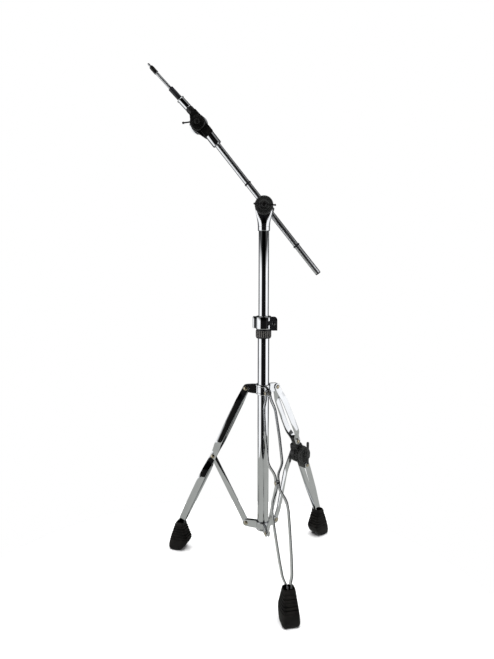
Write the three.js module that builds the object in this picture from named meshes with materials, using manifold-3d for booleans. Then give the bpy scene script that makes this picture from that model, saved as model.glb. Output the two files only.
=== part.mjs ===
// Boom cymbal stand: folding three-leg base with one jointed leg, height clamp, boom with
// its tilter, and a small cymbal tilter with a post. Millimetres, +Z up, standing as in use.
// The boom swings in the XZ plane; the camera side is -Y.
import * as THREE from 'three';
import { mergeVertices } from 'three/addons/utils/BufferGeometryUtils.js';
import Module from 'manifold-3d';

const wasm = await Module();
wasm.setup();

// ---------------------------------------------------------------- driving dimensions

const GAP = 0.3; // between neighbours that touch or turn on each other

// tubes
const BASE_TUBE_D = 28.6;
const TUBE_WALL = 1.2;
const TUBE_CLEARANCE = 0.4; // the mast tube slides in the base tube
const MAST_TUBE_D = BASE_TUBE_D - 2 * TUBE_WALL - 2 * TUBE_CLEARANCE;
const BASE_TUBE_LENGTH = 512;
const MAST_TUBE_LENGTH = 470;
const MAST_OVERLAP = 210; // mast tube inside the base tube

// tripod
const PIVOT_RADIUS = 45; // leg and brace pivots from the tube's axis
const LEG_LEAN = THREE.MathUtils.degToRad(25.7);
const LEG_UPPER = 210; // collar pivot to brace pivot
const LEG_LOWER = 216; // brace pivot to the top of the boot
const BRACE = 192.5;
const LOWER_PIVOT_Z = 102;
const AZIMUTH = { front: -76, left: 164, right: 44 };
const STRAP_WIDTH = 17;
const STRAP_THICKNESS = 2.5;
const STRAP_SPREAD = 17; // half the distance between the straps where they run apart
const BRACE_WIDTH = 14.5;
const BRACE_THICKNESS = 3.5;
const EAR_THICKNESS = 7.4; // a collar arm across its two plates
const EAR_SLOT = 3;
const BRACKET_PLATE = 2.5;
const RIVET_R = 3.2;
const RIVET_HEAD_R = 6;
const RIVET_HEAD = 2.5;

// collar and lower bracket
const COLLAR_R = BASE_TUBE_D / 2 + 3.7;
const COLLAR_HEIGHT = 26;
const BRACKET_R = BASE_TUBE_D / 2 + 3.2;
const BRACKET_HEIGHT = 22;
const COLLAR_SCREW_AZIMUTH = 112;

// boot
const BOOT_HEIGHT = 77;
const BOOT_WIDTH = 42;
const BOOT_STEPS = 4;
const BOOT_STRAP_DEPTH = 20;

// knee of the right leg
const KNEE_BELOW_PIVOT = 16; // knee axis below the brace pivot, along the leg
const KNEE_R = 24;
const KNEE_BARREL_R = KNEE_R - 2;
const KNEE_LENGTH = 36;
const KNEE_LEAN = THREE.MathUtils.degToRad(22);
const KNEE_WING = 40;

// height clamp
const CLAMP_R = MAST_TUBE_D / 2 + 7.3;
const CLAMP_HEIGHT = 32.5;
const SLEEVE_R = BASE_TUBE_D / 2 + 5.2;
const SLEEVE_HEIGHT = 22.5;
const CLAMP_BOLT_X = CLAMP_R + 4;
const CLAMP_NUT_HEIGHT = 34;
const CLAMP_NUT_WIDTH = 19;

// boom tilter
const TILTER_R = 22.25;
const TILTER_FACE_DEPTH = 13;
const TILTER_WING = 27;
const NECK_R = MAST_TUBE_D / 2 + 2;
const NECK_HEIGHT = 59; // neck's lower rim to the tilter's axis
const YOKE_DEPTH = 10;
const YOKE_BACK = -3;
const CLAMP_DISC_DEPTH = 10;

// boom
const BOOM_LEAN = THREE.MathUtils.degToRad(51.3); // above the horizontal
const BOOM_D = 14;
const BOOM_OFFSET = 4.5; // boom axis beside the tilter's axis
const BOOM_TAIL = 209;
const BOOM_HEAD = 214;
const BOOM_CLAMP_R = BOOM_D / 2 + 6.5;
const BOOM_Y = YOKE_BACK + GAP + CLAMP_DISC_DEPTH + 3.2 + BOOM_CLAMP_R; // boom axis behind the tube's
const BOOM_CLAMP_LENGTH = 40;
const BUSH_WALL = 1.5;
const STOP_RING_HIGH = 69;
const STOP_RING_LOW = -123;

// cymbal tilter and post, measured along the boom from the tilter's axis
const HEAD_SLEEVE_D = BOOM_D + 9;
const HEAD_SLEEVE_START = BOOM_HEAD - 27;
const RATCHET_U = BOOM_HEAD + 42;
const RATCHET_V = -5;
const RATCHET_R = 20;
const RATCHET_DEPTH = HEAD_SLEEVE_D / 2 + 1.5;
const CYMBAL_WING = 36;
const POST_LEAN = THREE.MathUtils.degToRad(4.4); // away from the boom's own line
const POST_SEAT = 70; // ratchet axis to the cymbal seat
const POST_THREAD_D = 7.5;
const POST_SLEEVE_D = POST_THREAD_D + 5.5;
const POST_SLEEVE_LENGTH = 35;
const POST_TOP = 112; // cymbal seat to the tip of the thread
const NUT_D = POST_THREAD_D + 3;
const NUT_LENGTH = 20;

// ---------------------------------------------------------------- worked-out places

const BRACE_LEAN = Math.asin((LEG_UPPER * Math.sin(LEG_LEAN)) / BRACE);
const MID_PIVOT_Z = LOWER_PIVOT_Z + BRACE * Math.cos(BRACE_LEAN);
const COLLAR_Z = MID_PIVOT_Z + LEG_UPPER * Math.cos(LEG_LEAN);
const BOOT_TOP_Z = MID_PIVOT_Z - LEG_LOWER * Math.cos(LEG_LEAN);
const TUBE_BOTTOM_Z = LOWER_PIVOT_Z - 4;
const TUBE_TOP_Z = TUBE_BOTTOM_Z + BASE_TUBE_LENGTH;
const MAST_BOTTOM_Z = TUBE_TOP_Z - MAST_OVERLAP;
const MAST_TOP_Z = MAST_BOTTOM_Z + MAST_TUBE_LENGTH;
const NECK_SOCKET = 18; // mast tube inside the neck
const NECK_Z = MAST_TOP_Z - NECK_SOCKET;
const TILTER_Z = NECK_Z + NECK_HEIGHT;
const YOKE_FRONT = YOKE_BACK - YOKE_DEPTH;
const CLAMP_Z = TUBE_TOP_Z + 3;

const X = new THREE.Vector3(1, 0, 0);
const Y = new THREE.Vector3(0, 1, 0);
const Z = new THREE.Vector3(0, 0, 1);
const ROUND = 28; // sides of a large round piece
const SMALL = 14; // sides of a small one

// ---------------------------------------------------------------- finishes

function finish(color, metalness, roughness) {
  return new THREE.MeshStandardMaterial({ color, metalness, roughness });
}

const chrome = () => finish(0xd9dadc, 1, 0.08);
const blackCasting = () => finish(0x1b1b1c, 0.6, 0.45);
const charcoal = () => finish(0x3a3b3a, 0.4, 0.5);
const nylon = () => finish(0x15161a, 0, 0.5);
const rubber = () => finish(0x131211, 0, 0.85);
const brassy = () => finish(0xb49a5e, 1, 0.3);

// ---------------------------------------------------------------- solids

function solidOf(geometry) {
  const bare = geometry.clone();
  bare.deleteAttribute('normal');
  bare.deleteAttribute('uv');
  const merged = mergeVertices(bare, 1e-4);
  return new wasm.Manifold(
    new wasm.Mesh({
      numProp: 3,
      vertProperties: merged.attributes.position.array,
      triVerts: new Uint32Array(merged.index.array),
    }),
  );
}

function geometryOf(solid) {
  const mesh = solid.getMesh();
  const geometry = new THREE.BufferGeometry();
  geometry.setAttribute('position', new THREE.BufferAttribute(mesh.vertProperties, 3));
  geometry.setIndex(new THREE.BufferAttribute(mesh.triVerts, 1));
  return geometry;
}

function join(...parts) {
  return geometryOf(parts.map(solidOf).reduce((whole, part) => whole.add(part)));
}

function cut(body, ...tools) {
  return geometryOf(tools.map(solidOf).reduce((rest, tool) => rest.subtract(tool), solidOf(body)));
}

function common(...parts) {
  return geometryOf(parts.map(solidOf).reduce((shared, part) => shared.intersect(part)));
}

// A profile of [radius, height] points turned round the Z axis.
function turned(profile, sides = ROUND) {
  const points = profile.map(([radius, height]) => new THREE.Vector2(radius, height));
  return new THREE.LatheGeometry(points, sides).rotateX(Math.PI / 2);
}

function ring(outer, inner, from, to, sides = ROUND) {
  const profile = [
    [inner, from],
    [outer, from],
    [outer, to],
    [inner, to],
    [inner, from],
  ];
  return turned(profile, sides);
}

// A round bar between two points.
function bar(radius, from, to, sides = SMALL) {
  const start = new THREE.Vector3(...from);
  const line = new THREE.Vector3(...to).sub(start);
  const geometry = new THREE.CylinderGeometry(radius, radius, line.length(), sides);
  geometry.translate(0, line.length() / 2, 0);
  geometry.applyQuaternion(new THREE.Quaternion().setFromUnitVectors(Y, line.normalize()));
  return geometry.translate(start.x, start.y, start.z);
}

// A profile turned round Z, moved to lie along a direction from a point.
function turnedAlong(profile, from, direction, sides = SMALL) {
  const geometry = turned(profile, sides);
  const axis = new THREE.Vector3(...direction).normalize();
  geometry.applyQuaternion(new THREE.Quaternion().setFromUnitVectors(Z, axis));
  return geometry.translate(...from);
}

function shapeOf(outline) {
  if (outline instanceof THREE.Shape) return outline;
  return new THREE.Shape(outline.map(([u, v]) => new THREE.Vector2(u, v)));
}

function extruded(outline, depth) {
  return new THREE.ExtrudeGeometry(shapeOf(outline), { depth, bevelEnabled: false, curveSegments: 7 });
}

// Outline in X and Z, thick along Y.
function plateXZ(outline, fromY, toY) {
  return extruded(outline, toY - fromY).rotateX(Math.PI / 2).translate(0, toY, 0);
}

// Outline in Y and Z, thick along X.
function plateYZ(outline, fromX, toX) {
  const turn = new THREE.Matrix4().makeBasis(Y, Z, X);
  return extruded(outline, toX - fromX).applyMatrix4(turn).translate(fromX, 0, 0);
}

function block(from, to) {
  const size = to.map((value, i) => value - from[i]);
  const middle = to.map((value, i) => (value + from[i]) / 2);
  return new THREE.BoxGeometry(...size).translate(...middle);
}

// A line of points with each corner rounded.
function rounded(points, radius) {
  const corners = points.map(([u, v]) => new THREE.Vector2(u, v));
  const line = [corners[0]];
  for (let i = 1; i < corners.length - 1; i += 1) {
    const before = corners[i - 1].clone().sub(corners[i]);
    const after = corners[i + 1].clone().sub(corners[i]);
    const reach = Math.min(radius, before.length() / 2.2, after.length() / 2.2);
    const bend = new THREE.QuadraticBezierCurve(
      corners[i].clone().addScaledVector(before.normalize(), reach),
      corners[i],
      corners[i].clone().addScaledVector(after.normalize(), reach),
    );
    line.push(...bend.getPoints(3));
  }
  line.push(corners[corners.length - 1]);
  return line;
}

// The outline of a strip of even thickness along a line of points.
function strip(line, thickness) {
  const left = [];
  const right = [];
  line.forEach((point, i) => {
    const before = line[Math.max(i - 1, 0)];
    const after = line[Math.min(i + 1, line.length - 1)];
    const along = after.clone().sub(before).normalize();
    const into = point.clone().sub(before).normalize();
    const half = i > 0 && i < line.length - 1 ? thickness / 2 / Math.max(into.dot(along), 0.5) : thickness / 2;
    left.push([point.x - along.y * half, point.y + along.x * half]);
    right.unshift([point.x + along.y * half, point.y - along.x * half]);
  });
  return [...left, ...right];
}

// A closed outline round a straight bar with round ends, from one centre to the other.
function stadium(from, to, radius) {
  const shape = new THREE.Shape();
  const angle = Math.atan2(to[1] - from[1], to[0] - from[0]);
  shape.absarc(to[0], to[1], radius, angle - Math.PI / 2, angle + Math.PI / 2, false);
  shape.absarc(from[0], from[1], radius, angle + Math.PI / 2, angle + 1.5 * Math.PI, false);
  shape.closePath();
  return shape;
}

function piece(name, geometry, material) {
  const mesh = new THREE.Mesh(geometry, material);
  mesh.name = name;
  return mesh;
}

// ---------------------------------------------------------------- the stand's groups

const stand = new THREE.Group();
const base = new THREE.Group();
stand.add(base);

// An arm's frame: X runs out from the tube, Y round it, Z up.
function armFrame(leg) {
  const frame = new THREE.Group();
  frame.rotation.z = THREE.MathUtils.degToRad(AZIMUTH[leg]);
  base.add(frame);
  return frame;
}

const arms = Object.fromEntries(Object.keys(AZIMUTH).map((leg) => [leg, armFrame(leg)]));

// ---------------------------------------------------------------- base tube

const tubeBore = BASE_TUBE_D / 2 - TUBE_WALL;
base.add(piece('base_tube', ring(BASE_TUBE_D / 2, tubeBore, TUBE_BOTTOM_Z, TUBE_TOP_Z), chrome()));

// ---------------------------------------------------------------- collar and lower bracket

// One arm of a hub: two plates side by side, with the slot open at the outer end.
function slottedArm(angle, pivotZ, hubHeight, endR, thickness, slot) {
  const outline = new THREE.Shape();
  const root = COLLAR_R - 4;
  outline.moveTo(root, pivotZ - hubHeight / 2 + 1);
  outline.lineTo(PIVOT_RADIUS * 0.6, pivotZ - hubHeight / 2 + 1);
  outline.absarc(PIVOT_RADIUS, pivotZ, endR, -Math.PI / 2, Math.PI / 2, false);
  outline.lineTo(root, pivotZ + hubHeight / 2 - 1);
  outline.closePath();
  const arm = plateXZ(outline, -thickness / 2, thickness / 2);
  const slotFrom = [COLLAR_R + 5, -slot / 2, pivotZ - hubHeight];
  const slotTo = [PIVOT_RADIUS + endR + 1, slot / 2, pivotZ + hubHeight];
  return cut(arm, block(slotFrom, slotTo)).rotateZ(angle);
}

function hub(pivotZ, outerR, height, endR, thickness, slot, pinHoleR) {
  const half = height / 2;
  const body = bar(outerR, [0, 0, pivotZ - half], [0, 0, pivotZ + half], ROUND);
  const angles = Object.values(AZIMUTH).map((degrees) => THREE.MathUtils.degToRad(degrees));
  const plates = angles.map((angle) => slottedArm(angle, pivotZ, height, endR, thickness, slot));
  const holes = angles.map((angle) =>
    bar(pinHoleR, [PIVOT_RADIUS, -thickness, pivotZ], [PIVOT_RADIUS, thickness, pivotZ]).rotateZ(angle),
  );
  const tube = bar(BASE_TUBE_D / 2 + GAP, [0, 0, pivotZ - height], [0, 0, pivotZ + height], ROUND);
  return cut(join(body, ...plates), tube, ...holes);
}

const bracketSlot = BRACE_THICKNESS + 2 * GAP;
const bracketThickness = bracketSlot + 2 * BRACKET_PLATE;
const bracketEndR = 8.5;
base.add(
  piece(
    'lower_bracket',
    hub(LOWER_PIVOT_Z, BRACKET_R, BRACKET_HEIGHT, bracketEndR, bracketThickness, bracketSlot, RIVET_R + GAP),
    chrome(),
  ),
);

// The collar slides on the base tube, and a knurled screw in its boss locks it.
const screwAngle = THREE.MathUtils.degToRad(COLLAR_SCREW_AZIMUTH);
const SCREW_R = 3;
const BOSS_R = 7;
const BOSS_END = COLLAR_R + 9;
const collarBody = hub(COLLAR_Z, COLLAR_R, COLLAR_HEIGHT, 8.5, EAR_THICKNESS, EAR_SLOT, RIVET_R + GAP);
const boss = bar(BOSS_R, [COLLAR_R - 2, 0, COLLAR_Z], [BOSS_END, 0, COLLAR_Z]).rotateZ(screwAngle);
const bossHole = bar(SCREW_R + GAP, [0, 0, COLLAR_Z], [BOSS_END + 1, 0, COLLAR_Z]).rotateZ(screwAngle);
base.add(piece('leg_collar', cut(join(collarBody, boss), bossHole), chrome()));

const screwHead = BOSS_END + GAP;
const screwProfile = [
  [0, BASE_TUBE_D / 2 + GAP],
  [SCREW_R, BASE_TUBE_D / 2 + GAP],
  [SCREW_R, screwHead],
  [8, screwHead],
  [9.5, screwHead + 1.5],
  [9.5, screwHead + 8],
  [7.5, screwHead + 10],
  [0, screwHead + 10],
];
const screwPlace = [0, 0, COLLAR_Z];
const screwLine = [Math.cos(screwAngle), Math.sin(screwAngle), 0];
base.add(piece('collar_screw', turnedAlong(screwProfile, screwPlace, screwLine), chrome()));

// ---------------------------------------------------------------- straps, pins and braces

// Half a leg's strap path: [distance down the leg, distance from the leg's middle plane].
const topHalf = EAR_THICKNESS / 2 + GAP + STRAP_THICKNESS / 2;
const pinchHalf = BRACE_THICKNESS / 2 + GAP + STRAP_THICKNESS / 2;
const bootHalf = STRAP_THICKNESS / 2 + 3;

const upperPath = [
  [-STRAP_WIDTH, topHalf],
  [13, topHalf],
  [40, STRAP_SPREAD * 0.82],
  [105, STRAP_SPREAD],
];

const plainPath = [
  ...upperPath,
  [LEG_UPPER - 42, STRAP_SPREAD],
  [LEG_UPPER - 18, pinchHalf],
  [LEG_UPPER + 15, pinchHalf],
  [LEG_UPPER + 40, STRAP_SPREAD - 0.6],
  [LEG_UPPER + 60, STRAP_SPREAD + 2.3],
  [LEG_UPPER + LEG_LOWER * 0.45, STRAP_SPREAD + 0.8],
  [LEG_UPPER + LEG_LOWER * 0.75, STRAP_SPREAD - 3],
  [LEG_UPPER + LEG_LOWER - 18, STRAP_SPREAD - 6.3],
  [LEG_UPPER + LEG_LOWER - 3, bootHalf],
  [LEG_UPPER + LEG_LOWER + BOOT_STRAP_DEPTH, bootHalf],
];

// A bent strap in a frame whose -Z runs down the leg: side is 1 or -1.
function strap(path, side, from, to, pins, roundTop, roundBottom) {
  const line = rounded(path.map(([s, t]) => [t * side, -s]), 9);
  const across = plateYZ(strip(line, STRAP_THICKNESS), -STRAP_WIDTH, STRAP_WIDTH);
  const half = STRAP_WIDTH / 2;
  const outline = new THREE.Shape();
  outline.moveTo(half, -to);
  if (roundTop) outline.absarc(0, -from, half, 0, Math.PI, false);
  else outline.lineTo(half, -from).lineTo(-half, -from);
  if (roundBottom) outline.absarc(0, -to, half, Math.PI, 2 * Math.PI, false);
  else outline.lineTo(-half, -to);
  outline.closePath();
  const face = plateXZ(outline, -2 * STRAP_SPREAD, 2 * STRAP_SPREAD);
  const holes = pins.map((s) => bar(RIVET_R + GAP, [0, -60, -s], [0, 60, -s]));
  return cut(common(across, face), ...holes);
}

// A headed pin along Y through a stack that reaches from one face to the other.
function pin(fromY, toY) {
  const profile = [
    [0, fromY - GAP - RIVET_HEAD],
    [RIVET_HEAD_R * 0.6, fromY - GAP - RIVET_HEAD],
    [RIVET_HEAD_R, fromY - GAP - RIVET_HEAD * 0.3],
    [RIVET_HEAD_R, fromY - GAP],
    [RIVET_R, fromY - GAP],
    [RIVET_R, toY + GAP],
    [RIVET_HEAD_R, toY + GAP],
    [RIVET_HEAD_R, toY + GAP + RIVET_HEAD * 0.3],
    [RIVET_HEAD_R * 0.6, toY + GAP + RIVET_HEAD],
    [0, toY + GAP + RIVET_HEAD],
  ];
  return turnedAlong(profile, [0, 0, 0], [0, 1, 0]);
}

// A short headed rivet on one bracket plate: side is 1 or -1.
function plateRivet(side) {
  const outer = bracketThickness / 2 + GAP;
  const profile = [
    [0, bracketSlot / 2],
    [RIVET_R, bracketSlot / 2],
    [RIVET_R, outer],
    [RIVET_HEAD_R, outer],
    [RIVET_HEAD_R, outer + RIVET_HEAD * 0.3],
    [RIVET_HEAD_R * 0.6, outer + RIVET_HEAD],
    [0, outer + RIVET_HEAD],
  ];
  return turnedAlong(profile, [0, 0, 0], [0, side, 0]);
}

// The leg's frame stands at the collar pivot, with -Z running down the leg.
function legFrame(leg) {
  const frame = new THREE.Group();
  frame.position.set(PIVOT_RADIUS, 0, COLLAR_Z);
  frame.rotation.y = -LEG_LEAN;
  arms[leg].add(frame);
  return frame;
}

// The brace's frame stands at the brace pivot, with -Z running down the brace.
function addBrace(leg, path) {
  const frame = new THREE.Group();
  frame.position.set(PIVOT_RADIUS + LEG_UPPER * Math.sin(LEG_LEAN), 0, MID_PIVOT_Z);
  frame.rotation.y = BRACE_LEAN;
  const line = rounded(path.map(([s, t]) => [t, -s]), 9);
  const across = plateYZ(strip(line, BRACE_THICKNESS), -BRACE_WIDTH, BRACE_WIDTH);
  const face = plateXZ(stadium([0, 0], [0, -BRACE], BRACE_WIDTH / 2), -60, 60);
  const hole = bar(RIVET_R + GAP, [0, -60, 0], [0, 60, 0]);
  frame.add(piece(`brace_${leg}`, cut(common(across, face), hole), chrome()));
  arms[leg].add(frame);
}

function addLowerRivets(leg) {
  for (const [mark, side] of [['a', 1], ['b', -1]]) {
    const rivet = piece(`lower_rivet_${leg}_${mark}`, plateRivet(side), brassy());
    rivet.position.set(PIVOT_RADIUS, 0, LOWER_PIVOT_Z);
    arms[leg].add(rivet);
  }
}

// ---------------------------------------------------------------- rubber boots

// The boot's side outline, out from the leg's foot and up, with a rolling sole and a stepped heel.
function bootOutline() {
  const sole = new THREE.Shape();
  const toe = STRAP_WIDTH / 2;
  const heel = -STRAP_WIDTH / 2;
  sole.moveTo(toe + 4.5, 0);
  sole.lineTo(toe + 15.5, -0.22 * BOOT_HEIGHT);
  sole.lineTo(toe + 22.5, -0.78 * BOOT_HEIGHT);
  sole.quadraticCurveTo(toe + 25.5, -BOOT_HEIGHT, toe + 15.5, -BOOT_HEIGHT);
  sole.lineTo(toe + 1.5, -BOOT_HEIGHT);
  sole.quadraticCurveTo(heel + 0.5, -BOOT_HEIGHT, heel - 14.5, -0.62 * BOOT_HEIGHT);
  const rise = (0.56 * BOOT_HEIGHT) / BOOT_STEPS;
  for (let i = 0; i < BOOT_STEPS; i += 1) {
    const edge = heel - 14.5 + i * 3;
    sole.lineTo(edge, -0.62 * BOOT_HEIGHT + (i + 0.55) * rise);
    sole.lineTo(edge + 3, -0.62 * BOOT_HEIGHT + (i + 1) * rise);
  }
  sole.lineTo(heel - 0.5, 0);
  sole.closePath();
  return sole;
}

// The boot's front outline: it narrows upwards and carries level grooves.
function bootFront() {
  const half = BOOT_WIDTH / 2;
  const grooves = 4;
  const right = [[half - 3, -BOOT_HEIGHT - 1], [half, -0.9 * BOOT_HEIGHT]];
  for (let i = 0; i < grooves; i += 1) {
    const height = -(0.74 - i * 0.16) * BOOT_HEIGHT;
    const edge = half - 0.6 - i * 1.6;
    right.push([edge, height - 2], [edge - 1.6, height], [edge - 0.9, height + 2]);
  }
  right.push([half - 9.5, 1]);
  const left = right.map(([u, v]) => [-u, v]).reverse();
  return [...right, ...left];
}

function boot(strapLean) {
  const body = common(plateXZ(bootOutline(), -BOOT_WIDTH, BOOT_WIDTH), plateYZ(bootFront(), -60, 60));
  const halfY = STRAP_THICKNESS / 2 + GAP;
  const halfX = STRAP_WIDTH / 2 + GAP;
  const pockets = [1, -1].map((side) =>
    block(
      [-halfX, side * bootHalf - halfY, -BOOT_STRAP_DEPTH - 2],
      [halfX, side * bootHalf + halfY, BOOT_HEIGHT],
    ).rotateY(-strapLean),
  );
  const mouthY = bootHalf + halfY + 2;
  const mouth = block([-halfX, -mouthY, -7], [halfX, mouthY, BOOT_HEIGHT]).rotateY(-strapLean);
  return cut(body, mouth, ...pockets);
}

// ---------------------------------------------------------------- front and left legs

for (const leg of ['front', 'left']) {
  const frame = legFrame(leg);
  const pins = [0, LEG_UPPER];
  for (const [mark, side] of [['a', 1], ['b', -1]]) {
    const shape = strap(plainPath, side, 0, LEG_UPPER + LEG_LOWER + BOOT_STRAP_DEPTH, pins, true, false);
    frame.add(piece(`leg_${leg}_strap_${mark}`, shape, chrome()));
  }
  const topPin = piece(`leg_${leg}_top_pin`, pin(-topHalf - STRAP_THICKNESS / 2, topHalf + STRAP_THICKNESS / 2), brassy());
  frame.add(topPin);
  const midFace = pinchHalf + STRAP_THICKNESS / 2;
  const midPin = piece(`leg_${leg}_brace_pin`, pin(-midFace, midFace), brassy());
  midPin.position.z = -LEG_UPPER;
  frame.add(midPin);
  const shoe = piece(`boot_${leg}`, boot(LEG_LEAN), rubber());
  shoe.position.set(PIVOT_RADIUS + (LEG_UPPER + LEG_LOWER) * Math.sin(LEG_LEAN), 0, BOOT_TOP_Z);
  arms[leg].add(shoe);
  addBrace(leg, [[-BRACE_WIDTH, 0], [BRACE + BRACE_WIDTH, 0]]);
  addLowerRivets(leg);
}

// ---------------------------------------------------------------- right leg with the knee

const rightLeg = legFrame('right');
const kneeS = LEG_UPPER + KNEE_BELOW_PIVOT;
const neckPinS = kneeS - KNEE_R - 13.5 - STRAP_WIDTH / 2; // the straps end just above the shoulder
const neckTop = neckPinS - 12;
const neckHalf = 6;
const neckStrapHalf = neckHalf + GAP + STRAP_THICKNESS / 2;
const neckEnd = kneeS - KNEE_R - 12;
const kneeUpperPath = [
  ...upperPath,
  [neckTop - 20, STRAP_SPREAD],
  [neckTop - 2, neckStrapHalf],
  [neckEnd + STRAP_WIDTH, neckStrapHalf],
];
for (const [mark, side] of [['a', 1], ['b', -1]]) {
  const shape = strap(kneeUpperPath, side, 0, neckPinS, [0, neckPinS], true, true);
  rightLeg.add(piece(`leg_right_upper_strap_${mark}`, shape, chrome()));
}
const rightTopPin = pin(-topHalf - STRAP_THICKNESS / 2, topHalf + STRAP_THICKNESS / 2);
rightLeg.add(piece('leg_right_top_pin', rightTopPin, brassy()));

// The knee's upper casting: a neck between the straps, and a disc at the drum's far end.
const discFrom = KNEE_LENGTH / 12;
const discTo = KNEE_LENGTH / 2;
const kneeBoltR = 4;
const braceSide = discTo + GAP + BRACE_THICKNESS / 2;
const neck = plateXZ(
  stadium([0, kneeS - neckPinS + 8], [0, KNEE_R + 9.5], 8.2),
  -neckHalf,
  neckHalf,
);
const shoulder = plateXZ(
  [[-9, KNEE_R + 12], [9, KNEE_R + 12], [13, KNEE_R + 0.6], [-13, KNEE_R + 0.6]],
  -neckHalf,
  discTo,
);
const drop = plateXZ([[-13, KNEE_R + 1], [13, KNEE_R + 1], [13, 0], [-13, 0]], discFrom, discTo);
const disc = bar(KNEE_R, [0, discFrom, 0], [0, discTo, 0], ROUND);
const kneeUpperHoles = [
  bar(kneeBoltR + GAP, [0, -60, 0], [0, 60, 0]),
  bar(RIVET_R + GAP, [0, -60, kneeS - neckPinS], [0, 60, kneeS - neckPinS]),
  bar(RIVET_R + GAP, [0, discFrom + 4, KNEE_BELOW_PIVOT], [0, 60, KNEE_BELOW_PIVOT]),
];
const kneeUpper = piece('knee_upper_casting', cut(join(neck, shoulder, drop, disc), ...kneeUpperHoles), blackCasting());
kneeUpper.position.z = -kneeS;
rightLeg.add(kneeUpper);

const neckFace = neckStrapHalf + STRAP_THICKNESS / 2;
const neckPin = piece('knee_neck_pin', pin(-neckFace, neckFace), brassy());
neckPin.position.z = -neckPinS;
rightLeg.add(neckPin);

// The brace pin is screwed into the disc's outer face, so it has one head.
const bracePinOuter = braceSide + BRACE_THICKNESS / 2 + GAP;
const bracePinProfile = [
  [0, discFrom + 4.5],
  [RIVET_R, discFrom + 4.5],
  [RIVET_R, bracePinOuter],
  [RIVET_HEAD_R, bracePinOuter],
  [RIVET_HEAD_R, bracePinOuter + RIVET_HEAD * 0.3],
  [RIVET_HEAD_R * 0.6, bracePinOuter + RIVET_HEAD],
  [0, bracePinOuter + RIVET_HEAD],
];
const bracePin = piece('leg_right_brace_pin', turnedAlong(bracePinProfile, [0, 0, 0], [0, 1, 0]), brassy());
bracePin.position.z = -LEG_UPPER;
rightLeg.add(bracePin);
const BRACE_BEND = KNEE_R + 42; // straight beside the knee, and clear of the lower straps when folded
const kneeBrace = [[-BRACE_WIDTH, braceSide], [BRACE_BEND, braceSide], [BRACE - 26, 0], [BRACE + BRACE_WIDTH, 0]];
addBrace('right', kneeBrace);
addLowerRivets('right');

// The lower half turns about the knee; its frame stands on the knee's axis.
const kneeRadius = PIVOT_RADIUS + kneeS * Math.sin(LEG_LEAN);
const kneeZ = COLLAR_Z - kneeS * Math.cos(LEG_LEAN);
const shin = (kneeZ - BOOT_TOP_Z) / Math.cos(KNEE_LEAN);
const lowerLeg = new THREE.Group();
lowerLeg.position.set(kneeRadius, 0, kneeZ);
lowerLeg.rotation.y = -KNEE_LEAN;
arms.right.add(lowerLeg);

// The knee's lower casting: a ribbed barrel with a block under it for the straps.
const barrelTo = discFrom - GAP;
const barrelFrom = -KNEE_LENGTH / 2;
const shinHalf = 13;
const lugHalf = shinHalf - STRAP_THICKNESS / 2 - GAP;
const lugTop = KNEE_R + 0.8;
const shinPinS = KNEE_R + 1.3 + STRAP_WIDTH / 2; // the straps end just under the drum
const barrelEdge = KNEE_BARREL_R - 1;
const barrelProfile = [
  [0, barrelFrom],
  [barrelEdge - 2, barrelFrom],
  [barrelEdge, barrelFrom + 2],
  [barrelEdge, barrelFrom + 11],
  [barrelEdge - 1.2, barrelFrom + 11.6],
  [barrelEdge - 1.2, barrelTo - 0.1],
  [barrelEdge - 2, barrelTo],
  [0, barrelTo],
];
const barrel = turnedAlong(barrelProfile, [0, 0, 0], [0, 1, 0], ROUND);
const lugUnder = plateXZ([[-9, -shinPinS - 7], [9, -shinPinS - 7], [11, -lugTop], [-11, -lugTop]], -lugHalf, lugHalf);
const lugRoot = plateXZ([[-11, -lugTop - 2], [11, -lugTop - 2], [13, -10], [-13, -10]], -lugHalf, barrelTo);
const kneeLowerHoles = [
  bar(kneeBoltR + GAP, [0, -60, 0], [0, 60, 0]),
  bar(RIVET_R + GAP, [0, -60, -shinPinS], [0, 60, -shinPinS]),
];
// Teeth run round the barrel's middle.
const TOOTH_COUNT = 36;
const toothRing = new THREE.Shape();
for (let i = 0; i < TOOTH_COUNT * 2; i += 1) {
  const radius = i % 2 ? KNEE_R - 0.2 : KNEE_R - 1.4;
  const angle = (i * Math.PI) / TOOTH_COUNT;
  const place = [radius * Math.cos(angle), radius * Math.sin(angle)];
  if (i) toothRing.lineTo(...place);
  else toothRing.moveTo(...place);
}
toothRing.closePath();
const toothFrom = barrelFrom + 12;
const toothTo = barrelTo - 0.6;
const teeth = plateXZ(toothRing, toothFrom, toothTo);
const kneeLower = cut(join(barrel, teeth, lugUnder, lugRoot), ...kneeLowerHoles);
lowerLeg.add(piece('knee_lower_casting', kneeLower, charcoal()));

const shinPath = [
  [shinPinS - STRAP_WIDTH, shinHalf],
  [shinPinS + 10, shinHalf],
  [shin * 0.62, shinHalf - 2.5],
  [shin - 4, bootHalf],
  [shin + BOOT_STRAP_DEPTH, bootHalf],
];
for (const [mark, side] of [['a', 1], ['b', -1]]) {
  const shape = strap(shinPath, side, shinPinS, shin + BOOT_STRAP_DEPTH, [shinPinS], true, false);
  lowerLeg.add(piece(`leg_right_lower_strap_${mark}`, shape, chrome()));
}
const shinFace = shinHalf + STRAP_THICKNESS / 2;
const shinPin = piece('knee_shin_pin', pin(-shinFace, shinFace), brassy());
shinPin.position.z = -shinPinS;
lowerLeg.add(shinPin);
const rightBoot = piece('boot_right', boot(KNEE_LEAN), rubber());
rightBoot.position.set(kneeRadius + shin * Math.sin(KNEE_LEAN), 0, BOOT_TOP_Z);
arms.right.add(rightBoot);

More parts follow.
